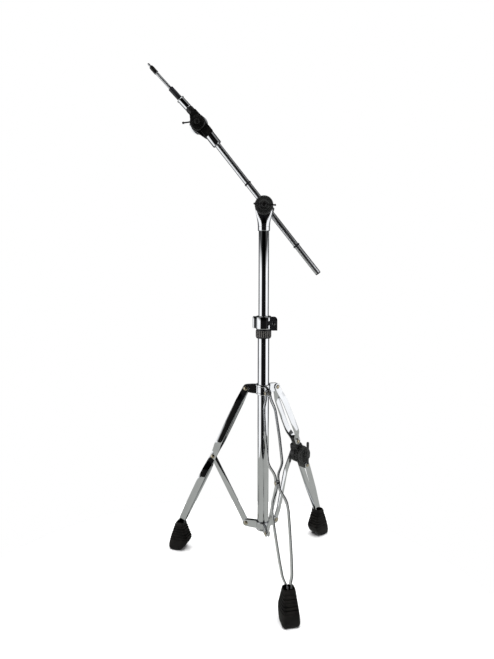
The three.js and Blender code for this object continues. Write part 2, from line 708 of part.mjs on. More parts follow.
// The knee's wing bolt: hub and two wings outside the barrel, shank through both castings.
const kneeHead = barrelFrom - GAP;
const kneeShank = bar(kneeBoltR, [0, kneeHead - 1, 0], [0, discTo, 0]);
const kneeHub = bar(8, [0, kneeHead - 11, 0], [0, kneeHead, 0], ROUND);
const kneeWings = plateXZ(stadium([0, -KNEE_WING / 2], [0, KNEE_WING - 4], 3.6), kneeHead - 9, kneeHead - 5);
const kneeBolt = piece('knee_wing_bolt', join(kneeShank, kneeHub, kneeWings), charcoal());
kneeBolt.position.set(kneeRadius, 0, kneeZ);
arms.right.add(kneeBolt);

// ---------------------------------------------------------------- height clamp

const mastR = MAST_TUBE_D / 2;
const sleeveBottom = CLAMP_Z - GAP - SLEEVE_HEIGHT;
const sleeveTop = CLAMP_Z - GAP;
const sleeveShape = new THREE.Shape();
const SLEEVE_RIBS = 24;
for (let i = 0; i < SLEEVE_RIBS * 2; i += 1) {
  const radius = i % 2 ? SLEEVE_R : SLEEVE_R - 1;
  const angle = (i * Math.PI) / SLEEVE_RIBS;
  const place = [radius * Math.cos(angle), radius * Math.sin(angle)];
  if (i) sleeveShape.lineTo(...place);
  else sleeveShape.moveTo(...place);
}
sleeveShape.closePath();
const sleeveRibs = extruded(sleeveShape, SLEEVE_HEIGHT - 6).translate(0, 0, sleeveBottom + 3);
const sleeveCore = bar(SLEEVE_R - 1.5, [0, 0, sleeveBottom], [0, 0, sleeveTop], ROUND);
const sleeveTubeHole = bar(BASE_TUBE_D / 2 + GAP, [0, 0, 0], [0, 0, TUBE_TOP_Z + GAP], ROUND);
const sleeveMastHole = bar(mastR + GAP, [0, 0, 0], [0, 0, CLAMP_Z + 60], ROUND);
base.add(piece('clamp_sleeve', cut(join(sleeveRibs, sleeveCore), sleeveTubeHole, sleeveMastHole), nylon()));

// The clamp is a split ring with two ears on +X and a hinge rib on -X.
const clampTop = CLAMP_Z + CLAMP_HEIGHT;
const clampProfile = [
  [0, CLAMP_Z],
  [CLAMP_R - 1, CLAMP_Z],
  [CLAMP_R, CLAMP_Z + 1.5],
  [CLAMP_R, clampTop - 2.5],
  [CLAMP_R - 2.5, clampTop],
  [0, clampTop],
];
const earBack = CLAMP_R / 2;
const earFront = -CLAMP_R / 2 + 0.5;
const clampEars = block([CLAMP_R - 5, earFront, CLAMP_Z + 3], [CLAMP_BOLT_X + 6.5, earBack, clampTop - 3]);
const hingeRib = bar(5.5, [-CLAMP_R - 1.5, 0, CLAMP_Z + 2], [-CLAMP_R - 1.5, 0, clampTop - 1]);
const clampSplit = block([mastR - 2, -1.2, 0], [CLAMP_BOLT_X + 12, 1.2, clampTop + 1]);
const clampMiddle = CLAMP_Z + CLAMP_HEIGHT / 2;
const clampBoltR = 3.5;
const clampBoltHole = bar(clampBoltR + GAP, [CLAMP_BOLT_X, -30, clampMiddle], [CLAMP_BOLT_X, 30, clampMiddle]);
const clampBore = bar(mastR + GAP, [0, 0, 0], [0, 0, clampTop + 1], ROUND);
const clampWhole = join(turned(clampProfile), clampEars, hingeRib);
base.add(piece('clamp_body', cut(clampWhole, clampBore, clampSplit, clampBoltHole), chrome()));

// The nut stands clear of the ring, so that it can be turned all the way round.
const nutBack = -CLAMP_R - 0.6;
const nutFront = nutBack - 10;
const clampBoltEnd = nutFront - GAP;
const clampBoltProfile = [
  [0, -earBack - GAP - 5],
  [5, -earBack - GAP - 5],
  [6.5, -earBack - GAP - 3.5],
  [6.5, -earBack - GAP],
  [clampBoltR, -earBack - GAP],
  [clampBoltR, -clampBoltEnd],
  [0, -clampBoltEnd],
];
const clampBoltPlace = [CLAMP_BOLT_X, 0, clampMiddle];
base.add(piece('clamp_bolt', turnedAlong(clampBoltProfile, clampBoltPlace, [0, -1, 0]), chrome()));

// Its black wing nut stands upright in use.
const nutHalf = CLAMP_NUT_HEIGHT / 2;
const nutSide = CLAMP_NUT_WIDTH / 2;
const nutOutline = new THREE.Shape();
nutOutline.moveTo(CLAMP_BOLT_X - nutSide, clampMiddle - nutHalf);
nutOutline.lineTo(CLAMP_BOLT_X + nutSide, clampMiddle - nutHalf);
nutOutline.lineTo(CLAMP_BOLT_X + nutSide, clampMiddle + nutHalf - 7);
nutOutline.quadraticCurveTo(CLAMP_BOLT_X + nutSide, clampMiddle + nutHalf, CLAMP_BOLT_X, clampMiddle + nutHalf);
nutOutline.lineTo(CLAMP_BOLT_X - nutSide, clampMiddle + nutHalf - 2);
nutOutline.closePath();
const nutHole = bar(clampBoltR + GAP, [CLAMP_BOLT_X, nutFront - 1, clampMiddle], [CLAMP_BOLT_X, 0, clampMiddle]);
const nutHub = bar(6.2, [CLAMP_BOLT_X, nutBack - 2, clampMiddle], [CLAMP_BOLT_X, earFront - GAP, clampMiddle], ROUND);
const nutBody = join(plateXZ(nutOutline, nutFront, nutBack), nutHub);
base.add(piece('clamp_wing_nut', cut(nutBody, nutHole), blackCasting()));

// ---------------------------------------------------------------- mast tube

const mast = new THREE.Group();
stand.add(mast);
mast.add(piece('mast_tube', ring(mastR, mastR - TUBE_WALL, MAST_BOTTOM_Z, MAST_TOP_Z), chrome()));

const mastPlugProfile = [
  [0, MAST_BOTTOM_Z - GAP - 4],
  [mastR - 1, MAST_BOTTOM_Z - GAP - 4],
  [mastR, MAST_BOTTOM_Z - GAP - 3],
  [mastR, MAST_BOTTOM_Z - GAP],
  [mastR - TUBE_WALL - GAP, MAST_BOTTOM_Z - GAP],
  [mastR - TUBE_WALL - GAP, MAST_BOTTOM_Z + 14],
  [0, MAST_BOTTOM_Z + 14],
];
mast.add(piece('mast_plug', turned(mastPlugProfile), nylon()));

// ---------------------------------------------------------------- boom tilter

// The neck: a socket on the mast that flares into the yoke plate.
const socket = bar(NECK_R, [0, 0, NECK_Z], [0, 0, MAST_TOP_Z + 4], ROUND);
const yokeR = TILTER_R - 0.8;
const flareFront = new THREE.Shape();
flareFront.moveTo(-NECK_R, NECK_Z + 8);
flareFront.quadraticCurveTo(-NECK_R - 0.5, TILTER_Z - 26, -yokeR, TILTER_Z - 6);
flareFront.lineTo(-yokeR, TILTER_Z);
flareFront.absarc(0, TILTER_Z, yokeR, Math.PI, 0, true);
flareFront.lineTo(yokeR, TILTER_Z - 6);
flareFront.quadraticCurveTo(NECK_R + 0.5, TILTER_Z - 26, NECK_R, NECK_Z + 8);
flareFront.closePath();
const flareSide = [
  [-NECK_R, NECK_Z + 8],
  [NECK_R - 1, NECK_Z + 8],
  [NECK_R - 2, MAST_TOP_Z + 2],
  [YOKE_BACK, TILTER_Z - 24],
  [YOKE_BACK, TILTER_Z + TILTER_R + 2],
  [YOKE_FRONT, TILTER_Z + TILTER_R + 2],
  [YOKE_FRONT, NECK_Z + 16],
];
const flare = common(plateXZ(flareFront, -30, 30), plateYZ(flareSide, -40, 40));
const TILTER_BOLT_R = 4;
const tilterHole = bar(TILTER_BOLT_R + GAP, [0, -60, TILTER_Z], [0, 60, TILTER_Z]);
const mastSocket = bar(mastR + GAP, [0, 0, 0], [0, 0, MAST_TOP_Z + GAP], ROUND);
mast.add(piece('tilter_neck', cut(join(socket, flare), tilterHole, mastSocket), chrome()));

// The charcoal face that covers the yoke's front.
const faceBack = YOKE_FRONT - GAP;
const faceFront = faceBack - TILTER_FACE_DEPTH;
const faceProfile = [
  [0, -faceBack],
  [TILTER_R, -faceBack],
  [TILTER_R, -faceFront - 2],
  [TILTER_R - 2, -faceFront],
  [11, -faceFront],
  [10, -faceFront - 1.5],
  [0, -faceFront - 1.5],
];
const facePlace = [0, 0, TILTER_Z];
const faceBody = turnedAlong(faceProfile, facePlace, [0, -1, 0], ROUND);
mast.add(piece('tilter_face', cut(faceBody, tilterHole), charcoal()));

// The boom clamp: a disc on the yoke's back and a split barrel round the boom.
const boomDirection = new THREE.Vector3(-Math.cos(BOOM_LEAN), 0, Math.sin(BOOM_LEAN));
const boomNormal = new THREE.Vector3(Math.sin(BOOM_LEAN), 0, Math.cos(BOOM_LEAN));

// A place given by the distance along the boom, beside it, and behind the stand.
function atBoom(u, v, y) {
  const place = new THREE.Vector3(0, y, TILTER_Z);
  return place.addScaledVector(boomDirection, u).addScaledVector(boomNormal, v).toArray();
}

const boomR = BOOM_D / 2;
const bushR = boomR + GAP + BUSH_WALL;
const clampHalf = BOOM_CLAMP_LENGTH / 2;
const clampDiscTo = YOKE_BACK + GAP + CLAMP_DISC_DEPTH;
const clampDisc = bar(TILTER_R - 0.4, [0, YOKE_BACK + GAP, TILTER_Z], [0, clampDiscTo, TILTER_Z], ROUND);
const clampBarrel = bar(
  BOOM_CLAMP_R,
  atBoom(-clampHalf, BOOM_OFFSET, BOOM_Y),
  atBoom(clampHalf, BOOM_OFFSET, BOOM_Y),
  ROUND,
);
const clampBridge = bar(TILTER_R - 8, [0, clampDiscTo - 1, TILTER_Z], [0, BOOM_Y - 4, TILTER_Z], ROUND);
const boomBore = bar(
  bushR + GAP,
  atBoom(-clampHalf - 1, BOOM_OFFSET, BOOM_Y),
  atBoom(clampHalf + 1, BOOM_OFFSET, BOOM_Y),
  ROUND,
);
const LOCK_R = 3;
const lockStart = BOOM_Y + bushR + GAP;
const lockBossEnd = BOOM_Y + BOOM_CLAMP_R + 4;
const lockPlace = atBoom(0, BOOM_OFFSET, 0);
const lockBoss = bar(7, [lockPlace[0], BOOM_Y + bushR + 1, lockPlace[2]], [lockPlace[0], lockBossEnd, lockPlace[2]]);
const lockHole = bar(LOCK_R + GAP, [lockPlace[0], BOOM_Y, lockPlace[2]], [lockPlace[0], 60, lockPlace[2]]);
const tilterThread = bar(TILTER_BOLT_R + GAP, [0, -10, TILTER_Z], [0, clampDiscTo + 3, TILTER_Z]);
mast.add(
  piece('boom_clamp', cut(join(clampDisc, clampBridge, clampBarrel, lockBoss), boomBore, lockHole, tilterThread), charcoal()),
);

const bushRing = ring(bushR, boomR + GAP, -clampHalf - 2.5, clampHalf + 2.5);
const toBoom = new THREE.Quaternion().setFromUnitVectors(Z, boomDirection);
const boomMiddle = atBoom(0, BOOM_OFFSET, BOOM_Y);
mast.add(piece('boom_bush', bushRing.applyQuaternion(toBoom).translate(...boomMiddle), nylon()));

// The tilter's wing bolt, with thin wings that end in small knobs.
const wingBack = faceFront - GAP;
const wingShank = bar(TILTER_BOLT_R, [0, wingBack - 1, 0], [0, clampDiscTo + 2, 0]);
const wingHub = bar(8.5, [0, wingBack - 10, 0], [0, wingBack, 0], ROUND);
const wingBar = bar(1.8, [-TILTER_WING + 6, wingBack - 7, 0], [TILTER_WING - 1, wingBack - 7, 0]);
const wingKnobs = [TILTER_WING - 1, -TILTER_WING + 6].map((reach) =>
  new THREE.SphereGeometry(2.8, 10, 7).translate(reach, wingBack - 7, 0),
);
const WING_TURN = THREE.MathUtils.degToRad(-4);
const tilterWing = piece('tilter_wing_bolt', join(wingShank, wingHub, wingBar, ...wingKnobs), blackCasting());
tilterWing.position.z = TILTER_Z;
tilterWing.rotation.y = WING_TURN;
mast.add(tilterWing);

// The boom's lock screw behind, with a lever across it.
const lockHead = lockBossEnd + GAP;
const LOCK_LEVER = 29;
const lockShank = bar(LOCK_R, [0, lockStart - 0.1, 0], [0, lockHead + 1, 0]);
const lockHub = bar(6.5, [0, lockHead, 0], [0, lockHead + 9, 0], ROUND);
const lockBar = bar(1.8, [-LOCK_LEVER, lockHead + 6, 0], [8, lockHead + 6, 0]);
const lockKnob = new THREE.SphereGeometry(2.8, 10, 7).translate(-LOCK_LEVER, lockHead + 6, 0);
const boomLock = piece('boom_lock_screw', join(lockShank, lockHub, lockBar, lockKnob), blackCasting());
boomLock.position.set(lockPlace[0], 0, lockPlace[2]);
boomLock.rotation.y = THREE.MathUtils.degToRad(18);
mast.add(boomLock);

// ---------------------------------------------------------------- boom

const boom = new THREE.Group();
stand.add(boom);

// Everything on the boom's own line is made along Z and laid on it.
function onBoom(name, geometry, material) {
  const mesh = piece(name, geometry, material);
  mesh.position.set(...boomMiddle);
  mesh.quaternion.copy(toBoom);
  boom.add(mesh);
}

const BOOM_WALL = 1.5;
const boomTube = ring(boomR, boomR - BOOM_WALL, -BOOM_TAIL, BOOM_HEAD);
onBoom('boom_tube', boomTube, chrome());
const capProfile = [
  [0, -BOOM_TAIL - GAP - 2.5],
  [boomR - 1, -BOOM_TAIL - GAP - 2.5],
  [boomR, -BOOM_TAIL - GAP - 1.5],
  [boomR, -BOOM_TAIL - GAP],
  [boomR - BOOM_WALL - GAP, -BOOM_TAIL - GAP],
  [boomR - BOOM_WALL - GAP, -BOOM_TAIL + 8],
  [0, -BOOM_TAIL + 8],
];
onBoom('boom_end_cap', turned(capProfile, SMALL), nylon());
const RING_R = boomR + 1.6;
const RING_HALF = 2.2;
for (const [name, middle] of [['stop_ring_high', STOP_RING_HIGH], ['stop_ring_low', STOP_RING_LOW]]) {
  onBoom(name, ring(RING_R, boomR + GAP, middle - RING_HALF, middle + RING_HALF, SMALL), nylon());
}
const headSleeveR = HEAD_SLEEVE_D / 2;
const headSleeveEnd = BOOM_HEAD + 2;
const headSleeveProfile = [
  [boomR + GAP, HEAD_SLEEVE_START],
  [headSleeveR - 1.5, HEAD_SLEEVE_START],
  [headSleeveR, HEAD_SLEEVE_START + 1.5],
  [headSleeveR, headSleeveEnd],
  [boomR + GAP, headSleeveEnd],
  [boomR + GAP, HEAD_SLEEVE_START],
];
onBoom('head_sleeve', turned(headSleeveProfile), chrome());

// ---------------------------------------------------------------- cymbal tilter

// Everything here is drawn in X and Z with the ratchet's axis at the origin and X down the
// boom's side, then laid on the boom.
const ratchetPlace = atBoom(RATCHET_U, BOOM_OFFSET + RATCHET_V, BOOM_Y);
const toTilter = new THREE.Quaternion().setFromUnitVectors(Z, boomDirection);

function onTilter(name, geometry, material) {
  const mesh = piece(name, geometry, material);
  mesh.position.set(...ratchetPlace);
  mesh.quaternion.copy(toTilter);
  boom.add(mesh);
}

// Lower half: a socket block over the boom's end and the rear ratchet disc.
const baseDrop = RATCHET_U - headSleeveEnd - GAP;
const backDisc = bar(RATCHET_R, [0, GAP / 2, 0], [0, RATCHET_DEPTH, 0], ROUND);
const blockHalf = HEAD_SLEEVE_D / 2 + 0.5;
const blockShift = -RATCHET_V;
const socketBlock = plateXZ(
  [
    [blockShift - blockHalf, -baseDrop],
    [blockShift + blockHalf, -baseDrop],
    [blockShift + blockHalf, -6],
    [-RATCHET_R * 0.85, -8],
  ],
  -blockHalf,
  blockHalf,
);
const blockRelief = bar(RATCHET_R + 0.6, [0, -60, 0], [0, GAP / 2, 0], ROUND);
const CYMBAL_BOLT_R = 3.5;
const ratchetHole = bar(CYMBAL_BOLT_R + GAP, [0, -60, 0], [0, 60, 0]);
onTilter('cymbal_tilter_base', cut(join(cut(socketBlock, blockRelief), backDisc), ratchetHole), blackCasting());

// Chrome washer behind it.
const washerProfile = [
  [CYMBAL_BOLT_R + GAP, RATCHET_DEPTH + GAP],
  [RATCHET_R + 1.5, RATCHET_DEPTH + GAP],
  [RATCHET_R + 3, RATCHET_DEPTH + GAP + 1.5],
  [RATCHET_R + 1.5, RATCHET_DEPTH + GAP + 4],
  [CYMBAL_BOLT_R + GAP, RATCHET_DEPTH + GAP + 4],
  [CYMBAL_BOLT_R + GAP, RATCHET_DEPTH + GAP],
];
onTilter('cymbal_tilter_washer', turnedAlong(washerProfile, [0, 0, 0], [0, 1, 0], ROUND), chrome());

// Upper half: the front ratchet disc with the neck that the post stands in.
const postTurn = -POST_LEAN;
const frontDisc = bar(RATCHET_R, [0, -RATCHET_DEPTH, 0], [0, -GAP / 2, 0], ROUND);
const POST_SOCKET = POST_SEAT - 29; // neck's end above the ratchet's axis
const postX = 8;
const neckProfile = [
  [0, 8],
  [9.5, 8],
  [9.5, POST_SOCKET - 3],
  [8, POST_SOCKET],
  [0, POST_SOCKET],
];
const postNeck = turned(neckProfile, SMALL).translate(postX, 0, 0);
const neckWeb = plateXZ([[-12, 12], [postX + 9.5, -2], [postX + 9.5, 26], [postX - 9.5, 26]], -RATCHET_DEPTH, -GAP / 2);
const neckRelief = bar(RATCHET_R + 0.6, [0, -GAP / 2, 0], [0, 60, 0], ROUND);
const upperHalf = join(frontDisc, cut(join(postNeck, neckWeb), neckRelief));
const rodR = POST_THREAD_D / 2;
const rodBottom = POST_SOCKET - 12;
const rodHole = bar(rodR + GAP, [postX, 0, rodBottom - GAP], [postX, 0, POST_SOCKET + 5]);
const upperCasting = cut(upperHalf, ratchetHole, rodHole).rotateY(postTurn);
onTilter('cymbal_tilter_arm', upperCasting, blackCasting());

// ---------------------------------------------------------------- cymbal post

// The seat: a stepped chrome collar with a flange that the cymbal's felt rests on.
const SEAT_RECESS = 1.2; // the nylon sleeve's foot stands in the seat
const seatProfile = [
  [rodR + GAP, POST_SOCKET + GAP],
  [8.5, POST_SOCKET + GAP],
  [8.5, POST_SEAT - 16],
  [9.8, POST_SEAT - 15],
  [9.8, POST_SEAT - 13],
  [7.6, POST_SEAT - 12.5],
  [7.6, POST_SEAT - 2.5],
  [10, POST_SEAT - 2],
  [10, POST_SEAT],
  [POST_SLEEVE_D / 2 + GAP, POST_SEAT],
  [POST_SLEEVE_D / 2 + GAP, POST_SEAT - SEAT_RECESS],
  [rodR + GAP, POST_SEAT - SEAT_RECESS],
  [rodR + GAP, POST_SOCKET + GAP],
];

function onPost(name, geometry, material) {
  onTilter(name, geometry.translate(postX, 0, 0).rotateY(postTurn), material);
}

onPost('post_seat', turned(seatProfile, SMALL), chrome());
const postTip = POST_SEAT + POST_TOP;
const rodProfile = [
  [0, rodBottom],
  [rodR, rodBottom],
  [rodR, postTip - 12],
  [rodR - 1, postTip - 11],
  [rodR - 1, postTip - 1],
  [rodR - 2, postTip],
  [0, postTip],
];
onPost('post_rod', turned(rodProfile, SMALL), chrome());
const sleeveStart = POST_SEAT - SEAT_RECESS + GAP;
const postSleeve = ring(POST_SLEEVE_D / 2, rodR + GAP, sleeveStart, sleeveStart + POST_SLEEVE_LENGTH, SMALL);
onPost('post_sleeve', postSleeve, nylon());
const nutTop = postTip - 9.5;
const nutBottom = nutTop - NUT_LENGTH;
const nutProfile = [
  [rodR + GAP, nutBottom],
  [NUT_D / 2, nutBottom],
  [NUT_D / 2, nutTop - 5],
  [NUT_D / 2 - 1.2, nutTop],
  [rodR + GAP, nutTop],
  [rodR + GAP, nutBottom],
];
onPost('cymbal_nut', turned(nutProfile, SMALL), blackCasting());

// The cymbal tilter's wing bolt comes through from the front.
const cymbalHead = -RATCHET_DEPTH - GAP;
const cymbalShank = bar(CYMBAL_BOLT_R, [0, cymbalHead - 1, 0], [0, RATCHET_DEPTH + 4, 0]);
const cymbalHub = bar(7.5, [0, cymbalHead - 9, 0], [0, cymbalHead, 0], ROUND);
const cymbalBar = bar(1.8, [-CYMBAL_WING + 3, cymbalHead - 6, 0], [8, cymbalHead - 6, 0]);
const cymbalKnob = new THREE.SphereGeometry(3.2, 10, 7).translate(-CYMBAL_WING + 3, cymbalHead - 6, 0);
const CYMBAL_WING_TURN = THREE.MathUtils.degToRad(32);
const cymbalBolt = join(cymbalShank, cymbalHub, cymbalBar, cymbalKnob).rotateY(CYMBAL_WING_TURN);
onTilter('cymbal_wing_bolt', cymbalBolt, blackCasting());

// ---------------------------------------------------------------- the part's frame

// The origin is the middle of the stand's box, on the floor.
stand.updateMatrixWorld(true);
const box = new THREE.Box3().setFromObject(stand, true);
const part = new THREE.Group();
stand.position.set(-(box.min.x + box.max.x) / 2, -(box.min.y + box.max.y) / 2, -box.min.z);
part.add(stand);

export default part;
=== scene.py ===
import math

import bmesh
import bpy
from mathutils import Matrix, Vector


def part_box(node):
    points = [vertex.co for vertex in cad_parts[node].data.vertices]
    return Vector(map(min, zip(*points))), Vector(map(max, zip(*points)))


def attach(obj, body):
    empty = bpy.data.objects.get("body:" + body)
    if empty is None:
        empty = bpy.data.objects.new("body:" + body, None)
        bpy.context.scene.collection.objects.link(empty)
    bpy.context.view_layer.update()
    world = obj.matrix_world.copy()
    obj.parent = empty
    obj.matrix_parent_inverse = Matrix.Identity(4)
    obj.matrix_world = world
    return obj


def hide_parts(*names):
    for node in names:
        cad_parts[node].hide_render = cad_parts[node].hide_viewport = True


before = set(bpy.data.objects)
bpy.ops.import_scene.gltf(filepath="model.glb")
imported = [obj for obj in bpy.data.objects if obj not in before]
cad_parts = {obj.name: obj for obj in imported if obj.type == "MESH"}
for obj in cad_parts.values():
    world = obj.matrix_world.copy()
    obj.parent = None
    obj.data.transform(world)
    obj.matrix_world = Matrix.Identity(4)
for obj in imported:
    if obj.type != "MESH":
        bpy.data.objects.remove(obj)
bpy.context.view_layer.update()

# ---------------------------------------------------------------- the stand's own frame
# The stand is drawn in millimetres about the middle of its upright tube, standing on the
# floor. The boom swings in the XZ plane, and the side that is looked at is -Y.
tube_low, tube_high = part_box("base_tube")
STAND = Matrix.Translation(((tube_low.x + tube_high.x) / 2, (tube_low.y + tube_high.y) / 2, 0))
STAND = STAND @ Matrix.Scale(0.001, 4)

# ---------------------------------------------------------------- studio
# A pale floor under a wide lamp. Low white cards stand on both sides, with a darker room
# before and behind them and a dim ceiling over them, which give plated steel its black and
# white bands. Polished faces see neither the floor nor the lamp.
CAMERA_PLACE = (0, -1280, 764)
CAMERA_LOOK = (-0.0318, 0.9925, -0.1184)
camera_data = bpy.data.cameras.new("camera")
camera = bpy.data.objects.new("camera", camera_data)
bpy.context.scene.collection.objects.link(camera)
camera.location = STAND @ Vector(CAMERA_PLACE)
camera.rotation_euler = Vector(CAMERA_LOOK).to_track_quat("-Z", "Y").to_euler()
camera_data.sensor_fit = "VERTICAL"
camera_data.sensor_height = 36
camera_data.lens = 36 * 520 / 659
camera_data.clip_end = 50
bpy.context.scene.camera = camera
bpy.context.scene.view_settings.view_transform = "Standard"


class Tone:
    """A socket of a shader that sums can be written with."""

    def __init__(self, tree, socket=None):
        self.tree = tree
        self.socket = socket

    def node(self, kind, settings=None, inputs=None, output=0):
        made = self.tree.nodes.new(kind)
        for key, value in (settings or {}).items():
            if key == "stops":
                ramp = made.color_ramp
                while len(ramp.elements) < len(value):
                    ramp.elements.new(0.5)
                for stop, (place, colour) in zip(ramp.elements, value):
                    stop.position = place
                    stop.color = (*colour, 1)
            else:
                setattr(made, key, value)
        for key, value in (inputs or {}).items():
            if isinstance(value, Tone):
                self.tree.links.new(value.socket, made.inputs[key])
            else:
                made.inputs[key].default_value = value
        return Tone(self.tree, made.outputs[output] if made.outputs else None)

    def sum(self, operation, first, second):
        return self.node("ShaderNodeMath", {"operation": operation}, {0: first, 1: second})

    def __add__(self, other):
        return self.sum("ADD", self, other)

    def __radd__(self, other):
        return self.sum("ADD", other, self)

    def __sub__(self, other):
        return self.sum("SUBTRACT", self, other)

    def __mul__(self, other):
        return self.sum("MULTIPLY", self, other)

    def __truediv__(self, other):
        return self.sum("DIVIDE", self, other)


world = bpy.data.worlds.new("studio")
bpy.context.scene.world = world
world.use_nodes = True
world.node_tree.nodes.clear()
sky = Tone(world.node_tree)
towards = sky.node("ShaderNodeTexCoord", output="Generated")
split = towards.node("ShaderNodeSeparateXYZ", {}, {0: towards})
parts = split.socket.node.outputs
side, depth, height = (Tone(world.node_tree, parts[axis]) for axis in "XYZ")
level = sky.node("ShaderNodeMath", {"operation": "SQRT"}, {0: side * side + depth * depth + 0.0001})
around = (depth / level) * 0.5 + 0.5
ROOM = [
    (0.0, (0.008, 0.008, 0.009)),
    (0.13, (0.014, 0.013, 0.012)),
    (0.18, (1.25, 1.26, 1.28)),
    (0.58, (1.25, 1.26, 1.28)),
    (0.66, (0.075, 0.08, 0.085)),
    (1.0, (0.11, 0.115, 0.12)),
]
room = around.node("ShaderNodeValToRGB", {"stops": ROOM}, {0: around})
UPWARDS = [
    (0.0, (0.8, 0.8, 0.8)),
    (0.59, (1, 1, 1)),
    (0.65, (0.04, 0.04, 0.04)),
    (0.76, (0.16, 0.16, 0.16)),
    (0.92, (0.24, 0.24, 0.24)),
    (1.0, (0.5, 0.5, 0.5)),
]
rise = height * 0.5 + 0.5
shade = sky.node("ShaderNodeValToRGB", {"stops": UPWARDS}, {0: rise})
overhead = sky.node(
    "ShaderNodeMix",
    {"data_type": "RGBA", "blend_type": "MULTIPLY"},
    {"Factor": 1.0, 6: room, 7: shade},
    2,
)
seen = sky.node("ShaderNodeLightPath", output="Is Camera Ray")
cards = sky.node("ShaderNodeBackground", {}, {"Color": overhead, "Strength": 1.0})
paper = sky.node("ShaderNodeBackground", {}, {"Color": (1, 1, 1, 1), "Strength": 1.0})
backdrop = sky.node("ShaderNodeMixShader", {}, {0: seen, 1: cards, 2: paper})
sky.node("ShaderNodeOutputWorld", {}, {"Surface": backdrop})

FLOOR_R = 0.66
floor_mesh = bmesh.new()
bmesh.ops.create_circle(floor_mesh, cap_ends=True, radius=FLOOR_R, segments=96)
floor_data = bpy.data.meshes.new("floor")
floor_mesh.to_mesh(floor_data)
floor_mesh.free()
floor = bpy.data.objects.new("floor", floor_data)
bpy.context.scene.collection.objects.link(floor)
floor.location = STAND @ Vector((-100, -300, -0.5))
floor_finish = bpy.data.materials.new("floor_paper")
floor_finish.use_nodes = True
floor_finish.node_tree.nodes.clear()
paper_start = Tone(floor_finish.node_tree)
fibre_place = paper_start.node("ShaderNodeTexCoord", output="Object")
fibre = paper_start.node("ShaderNodeTexNoise", {}, {"Vector": fibre_place, "Scale": 90.0, "Detail": 3.0})
paper_tint = paper_start.node(
    "ShaderNodeMix",
    {"data_type": "RGBA"},
    {"Factor": fibre, 6: (0.88, 0.88, 0.88, 1), 7: (0.92, 0.92, 0.92, 1)},
    2,
)
paper_face = paper_start.node("ShaderNodeBsdfPrincipled", {}, {"Base Color": paper_tint, "Roughness": 0.9})
paper_start.node("ShaderNodeOutputMaterial", {}, {"Surface": paper_face})
floor_data.materials.append(floor_finish)
floor.visible_glossy = False

# A grey sheet lies round the feet. Only polished faces see it, as a mid grey floor that
# ends in front of the stand.
SHEET = (0.81, 0.80)
sheet_mesh = bmesh.new()
bmesh.ops.create_grid(sheet_mesh, x_segments=1, y_segments=1, size=1.0)
bmesh.ops.scale(sheet_mesh, vec=(SHEET[0], SHEET[1], 1), verts=sheet_mesh.verts)
sheet_data = bpy.data.meshes.new("grey_sheet")
sheet_mesh.to_mesh(sheet_data)
sheet_mesh.free()
sheet = bpy.data.objects.new("grey_sheet", sheet_data)
bpy.context.scene.collection.objects.link(sheet)
sheet.location = STAND @ Vector((190, 240, -1.0))
sheet.visible_camera = False
sheet.visible_diffuse = False
sheet.visible_shadow = False
sheet_finish = bpy.data.materials.new("grey_sheet_paper")
sheet_finish.use_nodes = True
sheet_finish.node_tree.nodes.clear()
sheet_start = Tone(sheet_finish.node_tree)
sheet_place = sheet_start.node("ShaderNodeTexCoord", output="Object")
sheet_cloud = sheet_start.node("ShaderNodeTexNoise", {}, {"Vector": sheet_place, "Scale": 2.5, "Detail": 2.0})
sheet_tint = sheet_start.node(
    "ShaderNodeMix",
    {"data_type": "RGBA"},
    {"Factor": sheet_cloud, 6: (0.34, 0.35, 0.335, 1), 7: (0.52, 0.53, 0.51, 1)},
    2,
)
sheet_glow = sheet_start.node("ShaderNodeEmission", {}, {"Color": sheet_tint, "Strength": 1.0})
sheet_start.node("ShaderNodeOutputMaterial", {}, {"Surface": sheet_glow})
sheet_data.materials.append(sheet_finish)

lamp_data = bpy.data.lights.new("wide_lamp", "AREA")
lamp_data.shape = "RECTANGLE"
lamp_data.size = 5.0
lamp_data.size_y = 5.0
lamp_data.energy = 330
lamp = bpy.data.objects.new("wide_lamp", lamp_data)
lamp.location = (0, 0, 3.4)
lamp.visible_glossy = False
bpy.context.scene.collection.objects.link(lamp)

# ---------------------------------------------------------------- base tube
# The tripod's upright: drawn steel tube, 28.6 mm across, cut square with its lips
# rolled off, polished and chrome plated.
BASE_TUBE_R = 14.3
TUBE_WALL = 1.2
TUBE_BOTTOM = 98.0
TUBE_TOP = 610.0
SMOOTH_ANGLE = math.radians(38)


def turned(profile, steps=72):
    """A profile of radius and height, spun about Z."""
    bm = bmesh.new()
    line = [bm.verts.new((radius, 0, height)) for radius, height in profile]
    edges = [bm.edges.new(pair) for pair in zip(line, line[1:])]
    bmesh.ops.spin(
        bm, geom=line + edges, cent=(0, 0, 0), axis=(0, 0, 1), angle=math.tau, steps=steps, use_merge=True
    )
    bmesh.ops.remove_doubles(bm, verts=bm.verts, dist=0.0005)
    bmesh.ops.recalc_face_normals(bm, faces=bm.faces)
    return bm


def pipe(outer, inner, start, end, lip=0.4):
    """A tube's profile with softened lips."""
    return [
        (inner, start),
        (outer - lip, start),
        (outer - lip * 0.3, start + lip * 0.3),
        (outer, start + lip),
        (outer, end - lip),
        (outer - lip * 0.3, end - lip * 0.3),
        (outer - lip, end),
        (inner, end),
        (inner, start),
    ]


def gathered(*shapes):
    """Several shapes, each with its own place, as one."""
    whole = bmesh.new()
    for shape, place in shapes:
        shape.transform(place)
        if place.determinant() < 0:
            bmesh.ops.reverse_faces(shape, faces=shape.faces)
        held = bpy.data.meshes.new("held")
        shape.to_mesh(held)
        shape.free()
        whole.from_mesh(held)
        bpy.data.meshes.remove(held)
    return whole


